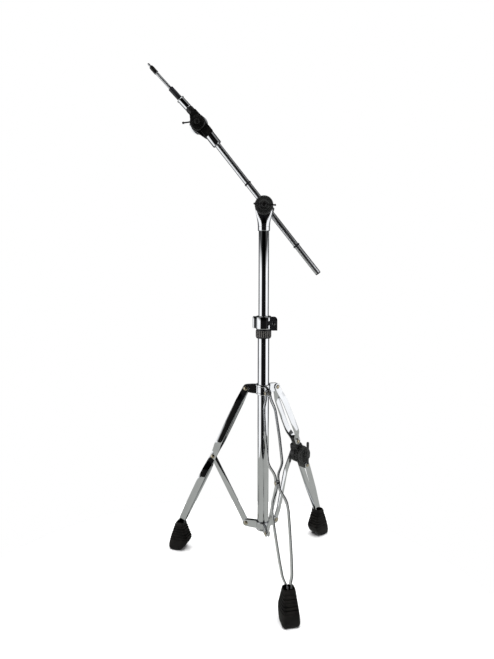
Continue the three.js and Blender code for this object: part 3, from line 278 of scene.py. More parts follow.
def piece(name, shape, place, finish, body, stands_for=(), bevel=0.0, wall=0.0):
    """A finished piece, laid in its place and told what it rides on."""
    shape.transform(place)
    for face in shape.faces:
        face.smooth = True
    data = bpy.data.meshes.new(name)
    shape.to_mesh(data)
    shape.free()
    data.materials.append(finish)
    made = bpy.data.objects.new(name, data)
    bpy.context.scene.collection.objects.link(made)
    if wall:
        thick = made.modifiers.new("wall", "SOLIDIFY")
        thick.thickness = wall * 0.001
        thick.offset = 0
        thick.use_even_offset = True
    if bevel:
        edge = made.modifiers.new("edge", "BEVEL")
        edge.width = bevel * 0.001
        edge.segments = 3
        edge.limit_method = "ANGLE"
        edge.angle_limit = SMOOTH_ANGLE
        edge.use_clamp_overlap = True
    data.set_sharp_from_angle(angle=SMOOTH_ANGLE)
    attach(made, body)
    if stands_for:
        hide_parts(*stands_for)
    return made


def chrome_finish(name, ripple, smudge, polish=0.035):
    """Chrome plate over polished steel: a trace of ripple, faint wiping marks, soft smudges."""
    material = bpy.data.materials.new(name)
    material.use_nodes = True
    material.node_tree.nodes.clear()
    start = Tone(material.node_tree)
    place = start.node("ShaderNodeTexCoord", output="Object")
    drawn = start.node("ShaderNodeMapping", {}, {"Vector": place, "Scale": (1.0, 1.0, 0.05)})
    fine_lines = {"Vector": drawn, "Scale": 1800.0, "Detail": 4.0, "Roughness": 0.7}
    wiped = start.node("ShaderNodeTexNoise", {}, fine_lines)
    soft_patches = {"Vector": place, "Scale": 28.0, "Detail": 3.0, "Roughness": 0.55}
    cloud = start.node("ShaderNodeTexNoise", {}, soft_patches)
    dust = start.node("ShaderNodeMapRange", {}, {"Value": cloud, "From Min": 0.45, "From Max": 0.75})
    tint = start.node(
        "ShaderNodeMix",
        {"data_type": "RGBA"},
        {"Factor": dust * 0.35, 6: (0.78, 0.79, 0.80, 1), 7: (0.62, 0.625, 0.63, 1)},
        2,
    )
    rough = polish + dust * smudge + wiped * 0.02
    wave = start.node("ShaderNodeTexNoise", {}, {"Vector": place, "Scale": 45.0, "Detail": 1.0})
    relief = {"Strength": ripple, "Distance": 0.0006, "Height": wave}
    bump = start.node("ShaderNodeBump", {}, relief, "Normal")
    plate = start.node(
        "ShaderNodeBsdfPrincipled",
        {},
        {"Base Color": tint, "Metallic": 1.0, "Roughness": rough, "Normal": bump},
    )
    start.node("ShaderNodeOutputMaterial", {}, {"Surface": plate})
    return material


tube_chrome = chrome_finish("tube_chrome", 0.02, 0.04)
tube_profile = pipe(BASE_TUBE_R, BASE_TUBE_R - TUBE_WALL, TUBE_BOTTOM, TUBE_TOP)
piece("base_tube_plated", turned(tube_profile, 96), STAND, tube_chrome, "base", ["base_tube"])

# ---------------------------------------------------------------- lower bracket
# A pressed and plated hub clenched on the tube's foot, with three pairs of ears that
# hold the braces. A small screw through the hub fixes it to the tube.
ARMS = {"front": -76.0, "left": 164.0, "right": 44.0}
PIVOT_R = 45.0
LOWER_PIVOT_Z = 102.0
BRACKET_R = 17.5
BRACKET_HEIGHT = 22.0
BRACKET_SLOT = 4.1
BRACKET_PLATE = 2.5
EAR_END_R = 8.5
ALONG_Y = Matrix.Rotation(math.radians(-90), 4, "X")
LEVEL = Matrix.Identity(4)


def arm(leg):
    """An arm's frame: X out from the tube, Y round it, Z up."""
    return STAND @ Matrix.Rotation(math.radians(ARMS[leg]), 4, "Z")


def at(x, y, z):
    return Matrix.Translation((x, y, z))


def plate(corners, start, end, radii=0.0, steps=8):
    """A flat outline in X and Z with its corners rounded, thick from start to end along Y."""
    bm = bmesh.new()
    verts = [bm.verts.new((x, start, z)) for x, z in corners]
    bm.faces.new(verts)
    if not isinstance(radii, list):
        radii = [radii] * len(verts)
    for vert, radius in zip(verts, radii):
        if radius:
            bmesh.ops.bevel(
                bm,
                geom=[vert],
                offset=radius,
                offset_type="OFFSET",
                affect="VERTICES",
                segments=steps,
                profile=0.5,
                material=-1,
            )
    bmesh.ops.remove_doubles(bm, verts=bm.verts, dist=0.005)
    grown = bmesh.ops.extrude_face_region(bm, geom=bm.faces[:])["geom"]
    moved = [part for part in grown if isinstance(part, bmesh.types.BMVert)]
    bmesh.ops.translate(bm, verts=moved, vec=(0, end - start, 0))
    bmesh.ops.recalc_face_normals(bm, faces=bm.faces)
    return bm


def ear(height, root, inner, outer):
    """One ear of a hub: it tapers a little and ends round at the pivot."""
    half = height / 2 - 1
    tip = PIVOT_R + EAR_END_R
    neck = PIVOT_R * 0.62
    corners = [(root, -half), (neck, -half), (tip, -EAR_END_R), (tip, EAR_END_R), (neck, half), (root, half)]
    return plate(corners, inner, outer, [0, 8, EAR_END_R * 0.99, EAR_END_R * 0.99, 8, 0])


def hub_with_ears(radius, height, slot, thick, collar_band):
    """A bored hub and its three pairs of ears, drawn about its own middle."""
    half = height / 2
    bore = BASE_TUBE_R + 0.3
    profile = [
        (bore, -half),
        (radius - 1, -half),
        (radius, -half + 1),
        (radius, -half + collar_band),
        (radius - 0.7, -half + collar_band + 0.7),
        (radius - 0.7, half - collar_band - 0.7),
        (radius, half - collar_band),
        (radius, half - 1),
        (radius - 1, half),
        (bore, half),
        (bore, -half),
    ]
    shapes = [(turned(profile), LEVEL)]
    for turn in ARMS.values():
        for side in (1, -1):
            shape = ear(height, radius - 2.5, slot / 2, slot / 2 + thick)
            round_hub = Matrix.Rotation(math.radians(turn), 4, "Z") @ Matrix.Diagonal((1, side, 1, 1))
            shapes.append((shape, round_hub))
        inner = radius - 2
        outer = radius + 4.6
        corners = [(inner, 1 - half), (outer, 1 - half), (outer, half - 1), (inner, half - 1)]
        web = plate(corners, -slot / 2, slot / 2)
        shapes.append((web, Matrix.Rotation(math.radians(turn), 4, "Z")))
    return shapes


pressed_chrome = chrome_finish("pressed_chrome", 0.06, 0.08)
bracket_screw = turned([(0, 0), (3.6, 0), (3.6, 1.0), (2.6, 2.0), (1.5, 2.2), (1.5, 1.2), (0, 1.2)], 24)
screw_turn = Matrix.Rotation(math.radians(-16), 4, "Z") @ at(BRACKET_R - 0.9, 0, 0)
screw_turn = screw_turn @ Matrix.Rotation(math.radians(90), 4, "Y")
bracket_shapes = hub_with_ears(BRACKET_R, BRACKET_HEIGHT, BRACKET_SLOT, BRACKET_PLATE, 4)
bracket_shapes.append((bracket_screw, screw_turn))
piece(
    "lower_bracket_plated",
    gathered(*bracket_shapes),
    STAND @ at(0, 0, LOWER_PIVOT_Z),
    pressed_chrome,
    "base",
    ["lower_bracket"],
    bevel=0.5,
)

# ---------------------------------------------------------------- lower rivets
# Domed steel rivets with a warm passivated tint, one head on each ear of the bracket.
# They stop at the slot, where the brace's end sits.
RIVET_R = 3.2
RIVET_HEAD_R = 5.6
RIVET_HEAD = 2.4


def dome(radius, height, base):
    """A rivet head's profile, from its rim up to its crown."""
    rise = [(radius * math.cos(t), base + height * math.sin(t)) for t in (0.0, 0.35, 0.7, 1.05, 1.35)]
    return rise + [(0, base + height)]


def rivet_finish():
    material = bpy.data.materials.new("rivet_steel")
    material.use_nodes = True
    material.node_tree.nodes.clear()
    start = Tone(material.node_tree)
    place = start.node("ShaderNodeTexCoord", output="Object")
    grain = start.node("ShaderNodeTexNoise", {}, {"Vector": place, "Scale": 700.0, "Detail": 4.0})
    film = start.node("ShaderNodeTexNoise", {}, {"Vector": place, "Scale": 160.0, "Detail": 2.0})
    tint = start.node(
        "ShaderNodeMix",
        {"data_type": "RGBA"},
        {"Factor": film, 6: (0.48, 0.40, 0.26, 1), 7: (0.66, 0.60, 0.48, 1)},
        2,
    )
    bump = start.node("ShaderNodeBump", {}, {"Strength": 0.06, "Distance": 0.0002, "Height": grain}, "Normal")
    face = start.node(
        "ShaderNodeBsdfPrincipled",
        {},
        {"Base Color": tint, "Metallic": 1.0, "Roughness": 0.2 + grain * 0.15, "Normal": bump},
    )
    start.node("ShaderNodeOutputMaterial", {}, {"Surface": face})
    return material


rivet_steel = rivet_finish()
LOWER_FACE = BRACKET_SLOT / 2 + BRACKET_PLATE
for leg in ARMS:
    for mark, side in (("a", 1), ("b", -1)):
        stub = BRACKET_SLOT / 2 + 0.1
        profile = [(0, stub), (RIVET_R, stub), (RIVET_R, LOWER_FACE + 0.05)]
        shape = turned(profile + dome(RIVET_HEAD_R, RIVET_HEAD, LOWER_FACE + 0.05), 32)
        face_out = Matrix.Rotation(math.radians(-90 * side), 4, "X")
        node = f"lower_rivet_{leg}_{mark}"
        place = arm(leg) @ at(PIVOT_R, 0, LOWER_PIVOT_Z) @ face_out
        piece(node + "_domed", shape, place, rivet_steel, "base", [node])

# ---------------------------------------------------------------- leg collar and its screw
# A plated casting that slides on the tube and carries the legs' upper ends. A knurled
# screw in the boss at its back locks it.
COLLAR_R = 18.0
COLLAR_HEIGHT = 26.0
EAR_SLOT = 3.0
EAR_PLATE = 2.2
SCREW_TURN = math.radians(112)
leg_lean = math.radians(25.7)
LEG_UPPER = 210.0
LEG_LOWER = 216.0
BRACE = 192.5
brace_lean = math.asin(LEG_UPPER * math.sin(leg_lean) / BRACE)
mid_z = LOWER_PIVOT_Z + BRACE * math.cos(brace_lean)
collar_z = mid_z + LEG_UPPER * math.cos(leg_lean)
boot_top_z = mid_z - LEG_LOWER * math.cos(leg_lean)


def toothed(radius, depth, teeth, start, end):
    """A round bar with straight flutes, along Z."""
    bm = bmesh.new()
    bmesh.ops.create_circle(bm, cap_ends=True, radius=radius, segments=teeth * 4)
    ring = sorted((v for v in bm.verts), key=lambda v: math.atan2(v.co.y, v.co.x))
    for index, vert in enumerate(ring):
        if index % 4 > 1:
            vert.co *= (radius - depth) / radius
    bmesh.ops.translate(bm, verts=bm.verts, vec=(0, 0, start))
    grown = bmesh.ops.extrude_face_region(bm, geom=bm.faces[:])["geom"]
    moved = [part for part in grown if isinstance(part, bmesh.types.BMVert)]
    bmesh.ops.translate(bm, verts=moved, vec=(0, 0, end - start))
    bmesh.ops.recalc_face_normals(bm, faces=bm.faces)
    return bm


collar_shapes = hub_with_ears(COLLAR_R, COLLAR_HEIGHT, EAR_SLOT, EAR_PLATE, 5)
boss_place = Matrix.Rotation(SCREW_TURN, 4, "Z") @ Matrix.Rotation(math.radians(90), 4, "Y")
boss = turned([(3.4, COLLAR_R - 2), (7, COLLAR_R - 2), (7, 26), (6, 27), (3.4, 27), (3.4, COLLAR_R - 2)], 40)
collar_shapes.append((boss, boss_place))
piece(
    "leg_collar_plated",
    gathered(*collar_shapes),
    STAND @ at(0, 0, collar_z),
    pressed_chrome,
    "collar",
    ["leg_collar"],
    bevel=0.5,
)
screw_shapes = [
    (turned([(0, 14.8), (2.6, 14.8), (3, 15.4), (3, 27.5), (0, 27.5)], 28), LEVEL),
    (toothed(9.4, 0.7, 20, 28.6, 35.2), LEVEL),
    (
        turned([(0, 27.3), (7.6, 27.3), (8.6, 28.6), (8.6, 35.2), (7.2, 37.0), (4, 37.3), (0, 37.3)], 40),
        LEVEL,
    ),
]
piece(
    "collar_screw_knurled",
    gathered(*screw_shapes),
    STAND @ at(0, 0, collar_z) @ boss_place,
    pressed_chrome,
    "collar_screw",
    ["collar_screw"],
    bevel=0.25,
)

# ---------------------------------------------------------------- leg straps
# Each leg is two strips of plated spring steel, riveted outside the collar's ears. They
# bow apart, pinch together over the brace, bow again and run side by side into the boot.
STRAP_HALF = 8.5
STRAP_THICK = 2.5
BOOT_DEPTH = 18.0


def eased(path, reach):
    """A path with each kink eased into a short bend."""
    line = [path[0]]
    for before, corner, after in zip(path, path[1:], path[2:]):
        into = Vector(before) - Vector(corner)
        away = Vector(after) - Vector(corner)
        run = min(reach, into.length / 2.2, away.length / 2.2)
        start = Vector(corner) + into.normalized() * run
        end = Vector(corner) + away.normalized() * run
        for share in (0.0, 0.2, 0.4, 0.6, 0.8, 1.0):
            along = start.lerp(Vector(corner), share).lerp(Vector(corner).lerp(end, share), share)
            line.append(tuple(along))
    line.append(path[-1])
    return line


def strap(path, start, end, half, round_start=True, round_end=True):
    """A bent strip about Z, pulled out edge by edge down its path, with round ends."""
    line = eased(path, 9)
    stations = {s: half for s, _ in line if start + half < s < end - half}
    for step in range(1, 10):
        turn = math.radians(step * 10)
        share = 1 - math.cos(turn)
        width = half * math.sin(turn)
        if round_start:
            stations[start + half * share] = width
        if round_end:
            stations[end - half * share] = width
    if not round_start:
        stations[start] = half
        stations[start + half] = half
    if not round_end:
        stations[end] = half
        stations[end - half] = half
    bm = bmesh.new()
    edge = None
    for s in sorted(stations):
        before = max((p for p in line if p[0] <= s), default=line[0])
        after = min((p for p in line if p[0] > s), default=line[-1])
        share = (s - before[0]) / (after[0] - before[0]) if after[0] > before[0] else 0
        aside = before[1] + (after[1] - before[1]) * share
        width = stations[s]
        if edge is None:
            pair = [bm.verts.new((x, aside, -s)) for x in (-width, width)]
            edge = bm.edges.new(pair)
            continue
        grown = bmesh.ops.extrude_edge_only(bm, edges=[edge])["geom"]
        pair = [part for part in grown if isinstance(part, bmesh.types.BMVert)]
        for vert in pair:
            vert.co = (width if vert.co.x > 0 else -width, aside, -s)
        edge = bm.edges.get(pair)
    bmesh.ops.recalc_face_normals(bm, faces=bm.faces)
    return bm


def leg_frame(leg):
    """At the collar's pivot, with -Z down the leg."""
    return arm(leg) @ at(PIVOT_R, 0, collar_z) @ Matrix.Rotation(-leg_lean, 4, "Y")


strap_chrome = chrome_finish("strap_chrome", 0.09, 0.07)
upper_path = [(-17, 5.25), (13, 5.25), (40, 13.94), (105, 17)]
plain_path = upper_path + [
    (LEG_UPPER - 42, 17),
    (LEG_UPPER - 18, 3.3),
    (LEG_UPPER + 15, 3.3),
    (LEG_UPPER + 40, 16.4),
    (LEG_UPPER + 60, 19.3),
    (LEG_UPPER + LEG_LOWER * 0.45, 17.8),
    (LEG_UPPER + LEG_LOWER * 0.75, 14),
    (LEG_UPPER + LEG_LOWER - 18, 10.7),
    (LEG_UPPER + LEG_LOWER - 3, 4.25),
    (LEG_UPPER + LEG_LOWER + 20, 4.25),
]
for leg in ("front", "left"):
    for mark, side in (("a", 1), ("b", -1)):
        path = [(s, t * side) for s, t in plain_path]
        node = f"leg_{leg}_strap_{mark}"
        shape = strap(path, -STRAP_HALF, LEG_UPPER + LEG_LOWER + BOOT_DEPTH, STRAP_HALF, True, False)
        piece(
            node + "_plated",
            shape,
            leg_frame(leg),
            strap_chrome,
            "leg_" + leg,
            [node],
            bevel=0.6,
            wall=STRAP_THICK,
        )

# ---------------------------------------------------------------- leg pins
# Rivets with domed heads hold the straps to the collar's ears and to the brace.


def pin(half):
    """A rivet with a head at each end, along Z, between faces at half each way."""
    low = [(r, -h) for r, h in reversed(dome(RIVET_HEAD_R, RIVET_HEAD, half + 0.05))]
    profile = low + [(RIVET_R, -half), (RIVET_R, half)] + dome(RIVET_HEAD_R, RIVET_HEAD, half + 0.05)
    return turned(profile, 32)


for leg in ARMS:
    piece(
        f"leg_{leg}_top_pin_domed",
        pin(5.25 + STRAP_THICK / 2),
        leg_frame(leg) @ ALONG_Y,
        rivet_steel,
        "leg_" + leg,
        [f"leg_{leg}_top_pin"],
    )
for leg in ("front", "left"):
    piece(
        f"leg_{leg}_brace_pin_domed",
        pin(3.3 + STRAP_THICK / 2),
        leg_frame(leg) @ at(0, 0, -LEG_UPPER) @ ALONG_Y,
        rivet_steel,
        "leg_" + leg,
        [f"leg_{leg}_brace_pin"],
    )

# ---------------------------------------------------------------- braces
# A single strip each, a little thicker than the straps, from the leg down to the lower
# bracket. The jointed leg's brace starts beside the knee and bends in to the bracket.
BRACE_HALF = 7.25
BRACE_THICK = 3.5
KNEE_SIDE = 20.05
brace_paths = {
    "front": [(-8, 0), (BRACE + 8, 0)],
    "left": [(-8, 0), (BRACE + 8, 0)],
    "right": [(-8, KNEE_SIDE), (66, KNEE_SIDE), (BRACE - 26, 0), (BRACE + 8, 0)],
}
for leg, path in brace_paths.items():
    place = arm(leg) @ at(PIVOT_R + LEG_UPPER * math.sin(leg_lean), 0, mid_z)
    place = place @ Matrix.Rotation(brace_lean, 4, "Y")
    shape = strap(path, -BRACE_HALF, BRACE + BRACE_HALF, BRACE_HALF)
    node = "brace_" + leg
    piece(node + "_plated", shape, place, strap_chrome, node, [node], bevel=0.7, wall=BRACE_THICK)

# ---------------------------------------------------------------- boots
# Moulded black rubber feet, pushed over the straps' ends: a sole that rolls up at toe
# and heel, sides that step in rib by rib, and a lip round the mouth.
BOOT_RIBS = 6


def stacked(levels, rounding, steps=6):
    """A rounded block built up level by level: each is height, back, front and half width."""
    height, back, front, half = levels[0]
    bm = bmesh.new()
    corners = [(back, -half), (front, -half), (front, half), (back, half)]
    verts = [bm.verts.new((x, y, height)) for x, y in corners]
    bm.faces.new(verts)
    for vert in verts:
        bmesh.ops.bevel(
            bm,
            geom=[vert],
            offset=min(rounding, half * 0.95, (front - back) * 0.45),
            offset_type="OFFSET",
            affect="VERTICES",
            segments=steps,
            profile=0.5,
            material=-1,
        )
    top = bm.faces[:]
    for level in levels[1:]:
        grown = bmesh.ops.extrude_face_region(bm, geom=top)["geom"]
        top = [part for part in grown if isinstance(part, bmesh.types.BMFace)]
        for vert in (part for part in grown if isinstance(part, bmesh.types.BMVert)):
            share = (vert.co.x - back) / (front - back)
            vert.co.x = level[1] + (level[2] - level[1]) * share
            vert.co.y *= level[3] / half
            vert.co.z = level[0]
        height, back, front, half = level
    bmesh.ops.recalc_face_normals(bm, faces=bm.faces)
    return bm


def rubber_finish():
    material = bpy.data.materials.new("boot_rubber")
    material.use_nodes = True
    material.node_tree.nodes.clear()
    start = Tone(material.node_tree)
    place = start.node("ShaderNodeTexCoord", output="Object")
    fine_grain = {"Vector": place, "Scale": 1400.0, "Detail": 4.0, "Roughness": 0.6}
    grain = start.node("ShaderNodeTexNoise", {}, fine_grain)
    bloom = start.node("ShaderNodeTexNoise", {}, {"Vector": place, "Scale": 55.0, "Detail": 4.0})
    haze = start.node("ShaderNodeMapRange", {}, {"Value": bloom, "From Min": 0.42, "From Max": 0.72})
    tint = start.node(
        "ShaderNodeMix",
        {"data_type": "RGBA"},
        {"Factor": haze, 6: (0.004, 0.0036, 0.0031, 1), 7: (0.012, 0.0105, 0.009, 1)},
        2,
    )
    bump = start.node("ShaderNodeBump", {}, {"Strength": 0.12, "Distance": 0.0003, "Height": grain}, "Normal")
    face = start.node(
        "ShaderNodeBsdfPrincipled",
        {},
        {"Base Color": tint, "Roughness": 0.5 + grain * 0.25, "Normal": bump, "Specular IOR Level": 0.25},
    )
    start.node("ShaderNodeOutputMaterial", {}, {"Surface": face})
    return material


boot_rubber = rubber_finish()
sole_levels = [
    (-76.95, 9, 25, 15.5),
    (-76.2, 3, 29, 18.2),
    (-74.2, -3, 31.4, 20.0),
    (-70.5, -8.5, 32.5, 20.8),
    (-66.0, -12.5, 32.7, 20.9),
    (-60.0, -17, 32.0, 20.8),
    (-54.0, -20, 31.0, 20.4),
    (-48.0, -22.6, 29.6, 19.6),
]
rib_levels = []
for rib in range(BOOT_RIBS):
    share = rib / BOOT_RIBS
    foot = -46.5 + share * 42
    back = -22.6 + share * 14.5
    front = 29.3 - share * 14
    half = 19.6 - share * 5.4
    rib_levels += [
        (foot, back + 1.9, front - 1.3, half - 1.6),
        (foot + 1.6, back + 1.9, front - 1.4, half - 1.7),
        (foot + 2.4, back + 0.2, front - 0.4, half - 0.2),
        (foot + 5.6, back + 1.4, front - 1.4, half - 0.9),
    ]
mouth_levels = [
    (-4.6, -9.0, 14.8, 13.9),
    (-1.6, -8.6, 13.6, 13.4),
    (-0.4, -7.9, 12.8, 12.4),
    (-0.4, -6.6, 11.6, 7.6),
    (-3.5, -6.4, 11.2, 7.0),
]
for leg in ARMS:
    if leg == "right":
        continue
    place = arm(leg) @ at(PIVOT_R + (LEG_UPPER + LEG_LOWER) * math.sin(leg_lean), 0, boot_top_z)
    shape = stacked(sole_levels + rib_levels + mouth_levels, 5)
    node = "boot_" + leg
    piece(node + "_moulded", shape, place, boot_rubber, "leg_" + leg, [node], bevel=0.35)

# ---------------------------------------------------------------- the jointed leg's upper half
# Its straps are like the others but close on the neck of the knee's upper casting: a
# black coated die casting with a disc at the far end of the knee.
KNEE_R = 24.0
KNEE_LENGTH = 36.0
KNEE_S = LEG_UPPER + 16
NECK_HALF = 6.0
NECK_PIN_S = KNEE_S - 46
knee_upper_path = upper_path + [(KNEE_S - 78, 17), (KNEE_S - 60, 7.55), (KNEE_S - 19, 7.55)]
for mark, side in (("a", 1), ("b", -1)):
    path = [(s, t * side) for s, t in knee_upper_path]
    node = f"leg_right_upper_strap_{mark}"
    shape = strap(path, -STRAP_HALF, NECK_PIN_S + STRAP_HALF, STRAP_HALF)
    piece(
        node + "_plated",
        shape,
        leg_frame("right"),
        strap_chrome,
        "leg_right",
        [node],
        bevel=0.6,
        wall=STRAP_THICK,
    )


def coated_finish(name, dark, light, rough, grain_size):
    """Coated die casting: an even coat with orange peel, thinner and paler in places."""
    material = bpy.data.materials.new(name)
    material.use_nodes = True
    material.node_tree.nodes.clear()
    start = Tone(material.node_tree)
    place = start.node("ShaderNodeTexCoord", output="Object")
    peel = start.node("ShaderNodeTexNoise", {}, {"Vector": place, "Scale": grain_size, "Detail": 3.0})
    thin_places = {"Vector": place, "Scale": 70.0, "Detail": 5.0, "Roughness": 0.6}
    thin = start.node("ShaderNodeTexNoise", {}, thin_places)
    worn = start.node("ShaderNodeMapRange", {}, {"Value": thin, "From Min": 0.4, "From Max": 0.7})
    tint = start.node(
        "ShaderNodeMix", {"data_type": "RGBA"}, {"Factor": worn, 6: (*dark, 1), 7: (*light, 1)}, 2
    )
    bump = start.node("ShaderNodeBump", {}, {"Strength": 0.07, "Distance": 0.0003, "Height": peel}, "Normal")
    face = start.node(
        "ShaderNodeBsdfPrincipled",
        {},
        {"Base Color": tint, "Roughness": rough + worn * 0.12, "Metallic": 0.0, "Normal": bump},
    )
    start.node("ShaderNodeOutputMaterial", {}, {"Surface": face})
    return material


black_coat = coated_finish("black_coat", (0.004, 0.0038, 0.0038), (0.009, 0.0085, 0.008), 0.30, 1100.0)
grey_coat = coated_finish("grey_coat", (0.020, 0.0205, 0.020), (0.030, 0.0305, 0.029), 0.46, 1300.0)
knee_upper = gathered(
    (
        plate(
            [(-8.2, KNEE_R + 1.3), (8.2, KNEE_R + 1.3), (8.2, KNEE_R + 38.2), (-8.2, KNEE_R + 38.2)],
            -NECK_HALF,
            NECK_HALF,
            [3, 3, 8.1, 8.1],
        ),
        LEVEL,
    ),
    (
        plate(
            [(-13, KNEE_R + 0.6), (13, KNEE_R + 0.6), (9, KNEE_R + 12), (-9, KNEE_R + 12)],
            -NECK_HALF,
            KNEE_LENGTH / 2,
            [1, 1, 3, 3],
        ),
        LEVEL,
    ),
    (plate([(-13, 0), (13, 0), (13, KNEE_R + 1), (-13, KNEE_R + 1)], 3.0, KNEE_LENGTH / 2), LEVEL),
    (
        turned(
            [
                (0, 3),
                (23.2, 3),
                (24, 3.8),
                (24, 16.4),
                (22.6, 17.9),
                (19.5, 18),
                (19, 17.4),
                (10, 17.4),
                (9.5, 18),
                (0, 18),
            ],
            72,
        ),
        ALONG_Y,
    ),
)
piece(
    "knee_upper_cast",
    knee_upper,
    leg_frame("right") @ at(0, 0, -KNEE_S),
    black_coat,
    "leg_right",
    ["knee_upper_casting"],
    bevel=0.6,
)
piece(
    "knee_neck_pin_domed",
    pin(7.55 + STRAP_THICK / 2),
    leg_frame("right") @ at(0, 0, -NECK_PIN_S) @ ALONG_Y,
    rivet_steel,
    "leg_right",
    ["knee_neck_pin"],
)
brace_pin_face = KNEE_SIDE + BRACE_THICK / 2 + 0.05
brace_pin = [(0, 8), (RIVET_R, 8), (RIVET_R, brace_pin_face)] + dome(RIVET_HEAD_R, RIVET_HEAD, brace_pin_face)
piece(
    "leg_right_brace_pin_domed",
    turned(brace_pin, 32),
    leg_frame("right") @ at(0, 0, -LEG_UPPER) @ ALONG_Y,
    rivet_steel,
    "leg_right",
    ["leg_right_brace_pin"],
)

# ---------------------------------------------------------------- the jointed leg's lower half
# A grey coated barrel with teeth round its middle turns on the knee bolt. Two short
# straps hang from the block under it and run into the third boot.
knee_lean = math.radians(22)
knee_r = PIVOT_R + KNEE_S * math.sin(leg_lean)
knee_z = collar_z - KNEE_S * math.cos(leg_lean)
shin = (knee_z - boot_top_z) / math.cos(knee_lean)
BARREL_R = 21.0
SHIN_PIN_S = KNEE_R + 9.8
shin_place = arm("right") @ at(knee_r, 0, knee_z) @ Matrix.Rotation(-knee_lean, 4, "Y")
knee_lower = gathered(
    (
        turned(
            [
                (0, -18),
                (8, -18),
                (8.5, -17.4),
                (15, -17.4),
                (15.5, -18),
                (BARREL_R - 2, -18),
                (BARREL_R, -16),
                (BARREL_R, -7),
                (BARREL_R - 1.2, -6.4),
                (BARREL_R - 1.2, 2.6),
                (BARREL_R - 2, 2.7),
                (0, 2.7),
            ],
            72,
        ),
        ALONG_Y,
    ),
    (toothed(KNEE_R - 0.3, 1.4, 40, -6, 2.1), ALONG_Y),
    (plate([(-9, -40.8), (9, -40.8), (11, -24.8), (-11, -24.8)], -11.4, 11.4, [3, 3, 0, 0]), LEVEL),
    (plate([(-11, -26.8), (11, -26.8), (13, -10), (-13, -10)], -11.4, 2.7), LEVEL),
)
piece(
    "knee_lower_cast",
    knee_lower,
    shin_place,
    grey_coat,
    "knee_lower",
    ["knee_lower_casting"],
    bevel=0.35,
)
shin_path = [
    (SHIN_PIN_S - 17, 13),
    (SHIN_PIN_S + 10, 13),
    (shin * 0.62, 10.5),
    (shin - 4, 4.25),
    (shin + 20, 4.25),
]
for mark, side in (("a", 1), ("b", -1)):
    path = [(s, t * side) for s, t in shin_path]
    node = f"leg_right_lower_strap_{mark}"
    shape = strap(path, SHIN_PIN_S - STRAP_HALF, shin + BOOT_DEPTH, STRAP_HALF, True, False)
    piece(
        node + "_plated",
        shape,
        shin_place,
        strap_chrome,
        "knee_lower",
        [node],
        bevel=0.6,
        wall=STRAP_THICK,
    )
piece(
    "knee_shin_pin_domed",
    pin(13 + STRAP_THICK / 2),
    shin_place @ at(0, 0, -SHIN_PIN_S) @ ALONG_Y,
    rivet_steel,
    "knee_lower",
    ["knee_shin_pin"],
)
piece(
    "boot_right_moulded",
    stacked(sole_levels + rib_levels + mouth_levels, 5),
    arm("right") @ at(knee_r + shin * math.sin(knee_lean), 0, boot_top_z),
    boot_rubber,
    "knee_lower",
    ["boot_right"],
    bevel=0.35,
)

# ---------------------------------------------------------------- knee wing bolt
# A grey coated bolt through both castings, with two flat wings to turn it by hand.
KNEE_HEAD = -18.3
knee_bolt = gathered(
    (turned([(0, KNEE_HEAD - 0.5), (4, KNEE_HEAD - 0.5), (4, 17.6), (3.4, 18), (0, 18)], 32), ALONG_Y),
    (
        turned(
            [(0, -29.3), (5, -29.3), (7, -28), (7.6, -25), (8, -20), (8, KNEE_HEAD), (0, KNEE_HEAD)],
            40,
        ),
        ALONG_Y,
    ),
    (
        plate([(-3.5, -23.4), (3.5, -23.4), (3.6, 39.4), (-3.6, 39.4)], -27.3, -23.3, [3.3, 3.3, 3.4, 3.4]),
        LEVEL,
    ),
)
piece(
    "knee_wing_bolt_cast",
    knee_bolt,
    arm("right") @ at(knee_r, 0, knee_z),
    grey_coat,
    "knee_wing",
    ["knee_wing_bolt"],
    bevel=0.7,
)

# ---------------------------------------------------------------- height clamp
# A black nylon ring with moulded ribs caps the base tube. Above it a plated split clamp
# grips the mast: hinge rib on one side, ears with a bolt and a black wing nut on the other.
MAST_R = 12.7
CLAMP_Z = TUBE_TOP + 3
CLAMP_TOP = CLAMP_Z + 32.5
CLAMP_R = 20.0
CLAMP_BOLT_X = 24.0
clamp_middle = CLAMP_Z + 16.25
sleeve_low = CLAMP_Z - 22.8
sleeve_high = CLAMP_Z - 0.3


